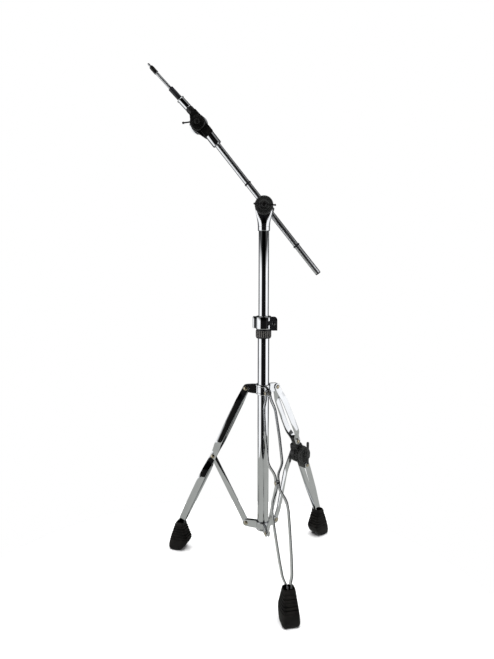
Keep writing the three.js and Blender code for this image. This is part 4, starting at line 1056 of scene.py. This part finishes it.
def nylon_finish(name, raised):
    """Black moulded nylon; raised is the radius beyond which its ribs are drawn paler."""
    material = bpy.data.materials.new(name)
    material.use_nodes = True
    material.node_tree.nodes.clear()
    start = Tone(material.node_tree)
    place = start.node("ShaderNodeTexCoord", output="Object")
    grain = start.node("ShaderNodeTexNoise", {}, {"Vector": place, "Scale": 1900.0, "Detail": 2.0})
    flow = start.node("ShaderNodeTexNoise", {}, {"Vector": place, "Scale": 90.0, "Detail": 3.0})
    tint = start.node(
        "ShaderNodeMix",
        {"data_type": "RGBA"},
        {"Factor": flow, 6: (0.006, 0.006, 0.008, 1), 7: (0.017, 0.017, 0.020, 1)},
        2,
    )
    if raised:
        centre = STAND @ Vector((0, 0, 0))
        axes = place.node("ShaderNodeSeparateXYZ", {}, {0: place}).socket.node.outputs
        across = Tone(material.node_tree, axes["X"]) - centre.x
        along = Tone(material.node_tree, axes["Y"]) - centre.y
        reach = start.node("ShaderNodeMath", {"operation": "SQRT"}, {0: across * across + along * along})
        # Beyond the radius raised from the tube's axis, the ribs' crests are mixed towards a pale grey.
        crest = {"Value": reach, "From Min": raised - 0.0006, "From Max": raised}
        rib_crest_share = start.node("ShaderNodeMapRange", {}, crest)
        paler = {"Factor": rib_crest_share * 0.9, 6: tint, 7: (0.13, 0.125, 0.115, 1)}
        tint = start.node("ShaderNodeMix", {"data_type": "RGBA"}, paler, 2)
    bump = start.node("ShaderNodeBump", {}, {"Strength": 0.06, "Distance": 0.0002, "Height": grain}, "Normal")
    face = start.node(
        "ShaderNodeBsdfPrincipled", {}, {"Base Color": tint, "Roughness": 0.32 + flow * 0.15, "Normal": bump}
    )
    start.node("ShaderNodeOutputMaterial", {}, {"Surface": face})
    return material


black_nylon = nylon_finish("black_nylon", 0)
ribbed_nylon = nylon_finish("ribbed_nylon", 0.0191)
sleeve_profile = [
    (14.6, sleeve_low),
    (17.2, sleeve_low),
    (18.2, sleeve_low + 1),
    (18.2, sleeve_high - 1),
    (17.4, sleeve_high),
    (13, sleeve_high),
    (13, TUBE_TOP + 0.3),
    (14.6, TUBE_TOP + 0.3),
    (14.6, sleeve_low),
]
ribs = []
for rib in range(24):
    turn = Matrix.Rotation(math.tau * rib / 24, 4, "Z")
    bead_low = sleeve_low + 3.4
    bead_high = sleeve_high - 3.4
    bead = plate(
        [(-1.5, bead_low), (1.5, bead_low), (1.5, bead_high), (-1.5, bead_high)],
        -19.4,
        -17.8,
        1.3,
        4,
    )
    ribs.append((bead, turn))
piece(
    "clamp_sleeve_moulded",
    gathered((turned(sleeve_profile, 72), LEVEL), *ribs),
    STAND,
    ribbed_nylon,
    "base",
    ["clamp_sleeve"],
    bevel=0.3,
)


def split_ring(profile, opening):
    """A turned ring with a slit that faces +X: opening is half its angle."""
    bm = bmesh.new()
    line = [bm.verts.new((radius, 0, height)) for radius, height in profile[:-1]]
    bm.faces.new(line)
    start = Matrix.Rotation(opening, 4, "Z")
    bmesh.ops.transform(bm, matrix=start, verts=bm.verts)
    bmesh.ops.spin(
        bm,
        geom=bm.faces[:] + bm.edges[:] + bm.verts[:],
        cent=(0, 0, 0),
        axis=(0, 0, 1),
        angle=math.tau - 2 * opening,
        steps=72,
    )
    bmesh.ops.recalc_face_normals(bm, faces=bm.faces)
    return bm


clamp_profile = [
    (13, CLAMP_Z),
    (CLAMP_R - 1.4, CLAMP_Z),
    (CLAMP_R, CLAMP_Z + 1.6),
    (CLAMP_R, CLAMP_TOP - 3.2),
    (CLAMP_R - 1, CLAMP_TOP - 1.2),
    (CLAMP_R - 3, CLAMP_TOP),
    (13, CLAMP_TOP),
    (13, CLAMP_Z),
]
ear_low = CLAMP_Z + 3
ear_high = CLAMP_TOP - 3
ear_corners = [(CLAMP_R - 5, ear_low), (30.5, ear_low), (30.5, ear_high), (CLAMP_R - 5, ear_high)]
hinge_profile = [
    (0, CLAMP_Z + 2),
    (4.6, CLAMP_Z + 2),
    (5.5, CLAMP_Z + 4),
    (5.5, CLAMP_TOP - 3),
    (4.4, CLAMP_TOP - 1),
    (0, CLAMP_TOP - 1),
]
clamp_shapes = [
    (split_ring(clamp_profile, math.radians(4)), LEVEL),
    (plate(ear_corners, 1.2, 10, [0, 5, 5, 0]), LEVEL),
    (plate(ear_corners, -9.5, -1.2, [0, 5, 5, 0]), LEVEL),
    (turned(hinge_profile, 40), at(-CLAMP_R - 1.5, 0, 0)),
]
piece(
    "clamp_body_plated",
    gathered(*clamp_shapes),
    STAND,
    pressed_chrome,
    "base",
    ["clamp_body"],
    bevel=0.5,
)
bolt_profile = [(0, -30.8), (3.5, -30.8), (3.5, 10.3), (6.5, 10.3), (6.5, 13.6), (5, 15.2), (0, 15.2)]
clamp_bolt = turned(bolt_profile, 32)
piece(
    "clamp_bolt_plated",
    clamp_bolt,
    STAND @ at(CLAMP_BOLT_X, 0, clamp_middle) @ ALONG_Y,
    pressed_chrome,
    "clamp_bolt",
    ["clamp_bolt"],
    bevel=0.4,
)
nut_outline = [
    (CLAMP_BOLT_X - 9.4, clamp_middle - 17),
    (CLAMP_BOLT_X + 9.4, clamp_middle - 17),
    (CLAMP_BOLT_X + 9.4, clamp_middle + 16.8),
    (CLAMP_BOLT_X - 9.4, clamp_middle + 16.2),
]
nut_front = [(4.0, -30.5), (6.2, -30.5), (7.0, -29.9), (7.0, -29.0), (4.0, -29.0), (4.0, -30.5)]
nut_hub = [(3.8, -22), (6.2, -22), (6.2, -10.4), (5.6, -9.8), (3.8, -9.8), (3.8, -22)]
clamp_nut = gathered(
    (plate(nut_outline, -29.6, -20.7, [1.5, 1.5, 8.5, 3.0]), LEVEL),
    (turned(nut_front, 36), at(CLAMP_BOLT_X, 0, clamp_middle) @ ALONG_Y),
    (turned(nut_hub, 36), at(CLAMP_BOLT_X, 0, clamp_middle) @ ALONG_Y),
)
piece(
    "clamp_wing_nut_moulded",
    clamp_nut,
    STAND,
    black_nylon,
    "clamp_wing_nut",
    ["clamp_wing_nut"],
    bevel=0.8,
)

# ---------------------------------------------------------------- mast tube
# The upper tube, 25.4 mm across, slides in the base tube on a nylon plug at its foot.
MAST_BOTTOM = 400.0
MAST_TOP = 870.0
mast_profile = pipe(MAST_R, MAST_R - TUBE_WALL, MAST_BOTTOM, MAST_TOP)
piece("mast_tube_plated", turned(mast_profile, 96), STAND, tube_chrome, "mast", ["mast_tube"])
plug_profile = [
    (0, MAST_BOTTOM - 4.3),
    (11.4, MAST_BOTTOM - 4.3),
    (12.6, MAST_BOTTOM - 3.1),
    (12.6, MAST_BOTTOM - 0.3),
    (11.2, MAST_BOTTOM - 0.3),
    (11.2, MAST_BOTTOM + 12),
    (10, MAST_BOTTOM + 14),
    (0, MAST_BOTTOM + 14),
]
piece(
    "mast_plug_moulded",
    turned(plug_profile, 56),
    STAND,
    black_nylon,
    "carriage",
    ["mast_plug"],
    bevel=0.2,
)

# ---------------------------------------------------------------- boom tilter
# A plated neck cups the mast's top and flares into a yoke disc. A charcoal face covers
# the yoke's front, with a raised boss in a shallow dish.
TILTER_Z = 911.0
NECK_Z = 852.0
NECK_R = 14.7
YOKE_R = 21.4


def flared(levels, sides=48):
    """An oval column pulled up level by level: height, middle Y, half width in X and in Y."""
    height, middle, wide, deep = levels[0]
    bm = bmesh.new()
    bmesh.ops.create_circle(bm, cap_ends=True, radius=1.0, segments=sides)
    bmesh.ops.scale(bm, vec=(wide, deep, 1), verts=bm.verts)
    bmesh.ops.translate(bm, vec=(0, middle, height), verts=bm.verts)
    top = bm.faces[:]
    for level in levels[1:]:
        grown = bmesh.ops.extrude_face_region(bm, geom=top)["geom"]
        top = [part for part in grown if isinstance(part, bmesh.types.BMFace)]
        for vert in (part for part in grown if isinstance(part, bmesh.types.BMVert)):
            vert.co.x *= level[2] / wide
            vert.co.y = level[1] + (vert.co.y - middle) * level[3] / deep
            vert.co.z = level[0]
        height, middle, wide, deep = level
    bmesh.ops.recalc_face_normals(bm, faces=bm.faces)
    return bm


socket_profile = [
    (13.0, NECK_Z),
    (NECK_R - 1, NECK_Z),
    (NECK_R - 0.3, NECK_Z + 0.4),
    (NECK_R, NECK_Z + 1.4),
    (NECK_R, 862),
    (NECK_R - 1.2, 862),
    (NECK_R - 1.2, 871),
    (0, 871),
    (0, MAST_TOP + 0.4),
    (13.0, MAST_TOP + 0.4),
    (13.0, NECK_Z),
]
flare_levels = [
    (862.0, 0.0, 14.7, 14.7),
    (865.0, 0.0, 14.9, 14.6),
    (869.0, -0.2, 15.2, 14.2),
    (873.0, -0.9, 15.6, 13.0),
    (877.0, -2.2, 16.2, 11.2),
    (881.0, -3.9, 16.9, 9.1),
    (885.0, -5.4, 17.7, 7.3),
    (889.0, -6.6, 18.5, 6.1),
    (894.0, -7.5, 19.5, 5.4),
    (900.0, -7.9, 20.5, 5.0),
    (906.0, -8.0, 21.2, 4.9),
    (911.0, -8.0, 21.3, 4.9),
]
yoke_profile = [(0, -13), (YOKE_R - 1, -13), (YOKE_R, -12), (YOKE_R, -4), (YOKE_R - 1, -3), (0, -3)]
neck_shape = gathered(
    (turned(socket_profile), LEVEL),
    (flared(flare_levels), LEVEL),
    (turned(yoke_profile), at(0, 0, TILTER_Z) @ ALONG_Y),
)
piece("tilter_neck_plated", neck_shape, STAND, tube_chrome, "mast", ["tilter_neck"], bevel=0.4)
face_profile = [
    (0, -13.3),
    (22.2, -13.3),
    (22.2, -24.4),
    (20.6, -26.2),
    (18.4, -26.3),
    (17.6, -25.6),
    (12.6, -25.4),
    (12.0, -27.4),
    (11.2, -27.8),
    (0, -27.8),
]
face_shapes = [(turned(face_profile), at(0, 0, TILTER_Z) @ ALONG_Y)]
for spoke in range(6):
    bead = plate([(-0.9, 12.4), (0.9, 12.4), (1.3, 17.9), (-1.3, 17.9)], -26.2, -25.2, 0.3, 3)
    face_shapes.append((bead, at(0, 0, TILTER_Z) @ Matrix.Rotation(math.tau * (spoke + 0.5) / 6, 4, "Y")))
piece(
    "tilter_face_cast",
    gathered(*face_shapes),
    STAND,
    grey_coat,
    "mast",
    ["tilter_face"],
    bevel=0.5,
)

# ---------------------------------------------------------------- tilter wing bolt
# A black bolt with a round hub and two thin sloping arms that end in small knobs.


def wing_arm(reach, thick, knob):
    """A thin arm along X that swells into a knob at its end."""
    profile = [(0, 4), (thick * 1.5, 4), (thick * 1.15, 9), (thick, 13), (thick, reach - knob * 2.2)]
    for turn in range(-50, 91, 20):
        angle = math.radians(turn)
        profile.append((max(knob * math.cos(angle), 0), reach - knob + knob * math.sin(angle)))
    bm = turned(profile, 24)
    bm.transform(Matrix.Rotation(math.radians(90), 4, "Y"))
    return bm


wing_shapes = [
    (turned([(0, -30), (3.9, -30), (3.9, 9), (0, 9)], 28), ALONG_Y),
    (
        turned(
            [(0, -38.6), (4.2, -38.6), (5.8, -37.6), (7.2, -34), (8.4, -30.5), (8.5, -28.4), (0, -28.4)], 40
        ),
        ALONG_Y,
    ),
]
arms_slope = Matrix.Rotation(math.radians(7.5), 4, "Y")
mirrored = Matrix.Diagonal((-1, 1, 1, 1))
wing_shapes.append((wing_arm(28.5, 1.7, 2.5), arms_slope @ at(0, -35.2, 0)))
wing_shapes.append((wing_arm(23.5, 1.7, 2.5), arms_slope @ mirrored @ at(0, -35.2, 0)))
piece(
    "tilter_wing_bolt_cast",
    gathered(*wing_shapes),
    STAND @ at(0, 0, TILTER_Z) @ Matrix.Rotation(math.radians(-4), 4, "Y"),
    black_coat,
    "tilter_wing",
    ["tilter_wing_bolt"],
    bevel=0.2,
)

# ---------------------------------------------------------------- boom clamp, bush and lock screw
# A charcoal casting pivots behind the yoke. Its barrel holds a nylon bush that grips the
# boom, and the lock screw at its back has a bar with knobs.
BOOM_Y = 24.0
BOOM_OFFSET = 4.5
boom_lean = math.radians(51.3)
boom_line = Vector((-math.cos(boom_lean), 0, math.sin(boom_lean)))
boom_beside = Vector((math.sin(boom_lean), 0, math.cos(boom_lean)))


def beside_boom(along, beside, y):
    """A point by its distance along the boom, beside it, and behind the stand."""
    return boom_line * along + boom_beside * beside + Vector((0, y, TILTER_Z))


boom_turn = Vector((0, 0, 1)).rotation_difference(boom_line).to_matrix().to_4x4()
boom_place = Matrix.Translation(beside_boom(0, BOOM_OFFSET, BOOM_Y)) @ boom_turn
lock_point = beside_boom(0, BOOM_OFFSET, 0)
clamp_disc = [(0, -2.6), (20.6, -2.6), (21.7, -1.6), (21.7, 5.6), (20.2, 7.2), (16, 7.4), (0, 7.4)]
boom_clamp = gathered(
    (turned(clamp_disc), at(0, 0, TILTER_Z) @ ALONG_Y),
    (turned([(0, 6), (15, 6), (14, 9), (13.4, 19), (0, 19)], 56), at(0, 0, TILTER_Z) @ ALONG_Y),
    (
        turned(
            [(9.1, -20), (12.6, -20), (13.4, -19), (13.4, 19), (12.6, 20), (9.1, 20), (9.1, -20)],
            64,
        ),
        boom_place,
    ),
    (
        turned([(3.3, 33.9), (7, 33.9), (7, 40.6), (6.2, 41.5), (3.3, 41.5), (3.3, 33.9)], 36),
        Matrix.Translation(lock_point) @ ALONG_Y,
    ),
)
piece(
    "boom_clamp_cast",
    boom_clamp,
    STAND,
    grey_coat,
    "boom_clamp",
    ["boom_clamp"],
    bevel=0.5,
)
bush_profile = [
    (7.3, -22.5),
    (8.4, -22.5),
    (9.8, -22.2),
    (9.8, -20.4),
    (8.8, -20.2),
    (8.8, 20.2),
    (9.8, 20.4),
    (9.8, 22.2),
    (8.4, 22.5),
    (7.3, 22.5),
    (7.3, -22.5),
]
piece(
    "boom_bush_moulded",
    turned(bush_profile, 48),
    STAND @ boom_place,
    black_nylon,
    "boom_bush",
    ["boom_bush"],
    bevel=0.2,
)
lock_shapes = [
    (turned([(0, 33.3), (3, 33.3), (3, 43), (0, 43)], 28), ALONG_Y),
    (turned([(0, 41.8), (6.5, 41.8), (6.4, 46), (5.4, 49.8), (4, 50.8), (0, 50.8)], 36), ALONG_Y),
]
lock_shapes.append((wing_arm(31.5, 1.7, 2.6), Matrix.Diagonal((-1, 1, 1, 1)) @ at(0, 47.8, 0)))
lock_shapes.append((wing_arm(10, 1.7, 1.9), at(0, 47.8, 0)))
piece(
    "boom_lock_screw_cast",
    gathered(*lock_shapes),
    STAND @ Matrix.Translation(lock_point) @ Matrix.Rotation(math.radians(18), 4, "Y"),
    black_coat,
    "boom_lock",
    ["boom_lock_screw"],
    bevel=0.2,
)

# ---------------------------------------------------------------- boom
# A 14 mm plated tube with a black cap in its tail, two nylon stop rings, and a plated
# sleeve pressed on its upper end.
BOOM_R = 7.0
BOOM_TAIL = -209.0
BOOM_HEAD = 214.0
boom_frame = STAND @ boom_place
boom_chrome = chrome_finish("boom_chrome", 0.02, 0.06, 0.26)
piece(
    "boom_tube_plated",
    turned(pipe(BOOM_R, 5.5, BOOM_TAIL, BOOM_HEAD, 0.3), 64),
    boom_frame,
    boom_chrome,
    "boom",
    ["boom_tube"],
)
cap_profile = [
    (0, BOOM_TAIL - 2.8),
    (5.6, BOOM_TAIL - 2.8),
    (6.9, BOOM_TAIL - 1.6),
    (6.9, BOOM_TAIL - 0.3),
    (5.2, BOOM_TAIL - 0.3),
    (5.2, BOOM_TAIL + 8),
    (0, BOOM_TAIL + 8),
]
piece(
    "boom_end_cap_moulded",
    turned(cap_profile, 40),
    boom_frame,
    black_nylon,
    "boom",
    ["boom_end_cap"],
    bevel=0.2,
)
for node, middle in (("stop_ring_high", 69.0), ("stop_ring_low", -123.0)):
    ring_profile = [
        (7.1, middle - 2.2),
        (8.0, middle - 2.2),
        (8.6, middle - 1.4),
        (8.6, middle + 1.4),
        (8.0, middle + 2.2),
        (7.1, middle + 2.2),
        (7.1, middle - 2.2),
    ]
    piece(node + "_moulded", turned(ring_profile, 48), boom_frame, black_nylon, "boom", [node])
sleeve_end = BOOM_HEAD + 2
head_profile = [
    (7.1, 187),
    (9.8, 187),
    (11.0, 187.5),
    (11.5, 188.8),
    (11.5, sleeve_end - 0.4),
    (11.1, sleeve_end),
    (7.1, sleeve_end),
    (7.1, 187),
]
piece(
    "head_sleeve_plated",
    turned(head_profile, 64),
    boom_frame,
    tube_chrome,
    "boom",
    ["head_sleeve"],
)

# ---------------------------------------------------------------- cymbal tilter
# Two black die cast halves meet face to face: the lower holds the boom's end, the upper
# the post. A plated washer backs them, and a wing bolt clamps them.
RATCHET_ALONG = 256.0
RATCHET_BESIDE = -5.0
ratchet_point = beside_boom(RATCHET_ALONG, BOOM_OFFSET + RATCHET_BESIDE, BOOM_Y)
tilter_frame = STAND @ Matrix.Translation(ratchet_point) @ boom_turn
BASE_DROP = RATCHET_ALONG - sleeve_end - 0.3
base_shapes = [
    (
        turned([(3.8, 0.3), (18.4, 0.3), (19, 0.9), (19, 12.4), (18.4, 13), (3.8, 13), (3.8, 0.3)]),
        ALONG_Y,
    ),
    (
        plate(
            [(5 - 11.8, -BASE_DROP), (5 + 11.8, -BASE_DROP), (5 + 11.8, -6), (16, 0), (-16.5, -9)],
            0.3,
            11.8,
            [2.5, 2.5, 3, 0, 0],
        ),
        LEVEL,
    ),
    (
        plate(
            [(5 - 11.8, -BASE_DROP), (5 + 11.8, -BASE_DROP), (5 + 11.8, -20.5), (-6.6, -21)],
            -11.8,
            0.4,
            [2.5, 2.5, 3, 2],
        ),
        LEVEL,
    ),
]
piece(
    "cymbal_tilter_base_cast",
    gathered(*base_shapes),
    tilter_frame,
    black_coat,
    "boom",
    ["cymbal_tilter_base"],
    bevel=0.7,
)
washer_profile = [
    (3.9, 13.3),
    (18.8, 13.3),
    (19.2, 13.4),
    (22.7, 16.0),
    (23, 16.4),
    (22.7, 16.8),
    (21.2, 17.2),
    (12, 17.3),
    (11.4, 16.8),
    (3.9, 16.8),
    (3.9, 13.3),
]
piece(
    "cymbal_tilter_washer_plated",
    turned(washer_profile),
    tilter_frame @ ALONG_Y,
    pressed_chrome,
    "boom",
    ["cymbal_tilter_washer"],
)

POST_X = 8.0
POST_SOCKET = 41.0
POST_SEAT = 70.0
post_turn = Matrix.Rotation(math.radians(-4.4), 4, "Y")
disc_profile = [
    (3.8, -13),
    (16.4, -13),
    (18, -11.8),
    (19, -10),
    (19, -0.9),
    (18.4, -0.3),
    (3.8, -0.3),
    (3.8, -13),
]
stub_profile = [
    (0, 12),
    (9.3, 12),
    (9.3, POST_SOCKET - 3),
    (8.6, POST_SOCKET - 1),
    (7.4, POST_SOCKET),
    (0, POST_SOCKET),
]
arm_shapes = [
    (turned(disc_profile), ALONG_Y),
    (turned(stub_profile, 48), at(POST_X, 0, 0)),
    (plate([(-12, 12), (17.5, -2), (17.5, 26), (-1.5, 26)], -12.6, -0.3, [3, 0, 2, 3]), LEVEL),
]
arm_shape = gathered(*arm_shapes)
piece(
    "cymbal_tilter_arm_cast",
    arm_shape,
    tilter_frame @ post_turn,
    black_coat,
    "cymbal_arm",
    ["cymbal_tilter_arm"],
    bevel=0.6,
)
cymbal_wing_shapes = [
    (turned([(0, -14), (3.4, -14), (3.4, 17), (0, 17)], 28), ALONG_Y),
    (turned([(0, -22.2), (4.4, -22.2), (6.2, -21), (7.4, -17), (7.5, -13.4), (0, -13.4)], 40), ALONG_Y),
    (wing_arm(36, 1.7, 2.9), Matrix.Diagonal((-1, 1, 1, 1)) @ at(0, -19.2, 0)),
]
piece(
    "cymbal_wing_bolt_cast",
    gathered(*cymbal_wing_shapes),
    tilter_frame @ Matrix.Rotation(math.radians(32), 4, "Y"),
    black_coat,
    "cymbal_wing",
    ["cymbal_wing_bolt"],
    bevel=0.2,
)

# ---------------------------------------------------------------- cymbal post
# A plated seat for the cymbal, a black nylon sleeve that keeps the cymbal off the thread,
# and a threaded steel rod with a black nut.
ROD_R = 3.75
ROD_END = POST_SEAT + 112
THREAD_PITCH = 1.25
post_frame = tilter_frame @ post_turn @ at(POST_X, 0, 0)
seat_profile = [
    (4.05, POST_SOCKET + 0.3),
    (8.0, POST_SOCKET + 0.3),
    (8.6, POST_SOCKET + 0.9),
    (8.6, POST_SEAT - 2.4),
    (9.7, POST_SEAT - 1.6),
    (9.9, POST_SEAT - 1.1),
    (9.9, POST_SEAT - 0.3),
    (9.6, POST_SEAT),
    (6.8, POST_SEAT),
    (6.8, POST_SEAT - 1.2),
    (4.05, POST_SEAT - 1.2),
    (4.05, POST_SOCKET + 0.3),
]
piece(
    "post_seat_plated",
    turned(seat_profile, 56),
    post_frame,
    tube_chrome,
    "cymbal_arm",
    ["post_seat"],
)
rod_profile = [(0, 30), (ROD_R, 30), (ROD_R, POST_SEAT + 36)]
turns = int((ROD_END - 12 - POST_SEAT - 36) / THREAD_PITCH)
for turn in range(turns):
    foot = POST_SEAT + 36 + turn * THREAD_PITCH
    rod_profile += [(ROD_R, foot + 0.2), (ROD_R - 0.55, foot + 0.6), (ROD_R, foot + 1.05)]
TIP_R = ROD_R - 1.15
rod_profile += [(ROD_R, ROD_END - 12), (TIP_R, ROD_END - 11), (TIP_R, ROD_END - 1)]
rod_profile += [(ROD_R - 2, ROD_END), (0, ROD_END)]
piece(
    "post_rod_threaded",
    turned(rod_profile, 32),
    post_frame,
    tube_chrome,
    "cymbal_arm",
    ["post_rod"],
)
sleeve_shape = turned(pipe(6.4, 4.1, POST_SEAT - 0.9, POST_SEAT + 34.1, 0.8), 48)
piece("post_sleeve_moulded", sleeve_shape, post_frame, black_nylon, "cymbal_arm", ["post_sleeve"])
nut_top = ROD_END - 9.5
nut_profile = [
    (4.05, nut_top - 20),
    (4.8, nut_top - 20),
    (5.2, nut_top - 19.4),
    (5.2, nut_top - 6),
    (4.6, nut_top - 0.6),
    (4.2, nut_top),
    (4.05, nut_top),
    (4.05, nut_top - 20),
]
piece(
    "cymbal_nut_coated",
    turned(nut_profile, 40),
    post_frame,
    black_coat,
    "cymbal_nut",
    ["cymbal_nut"],
)
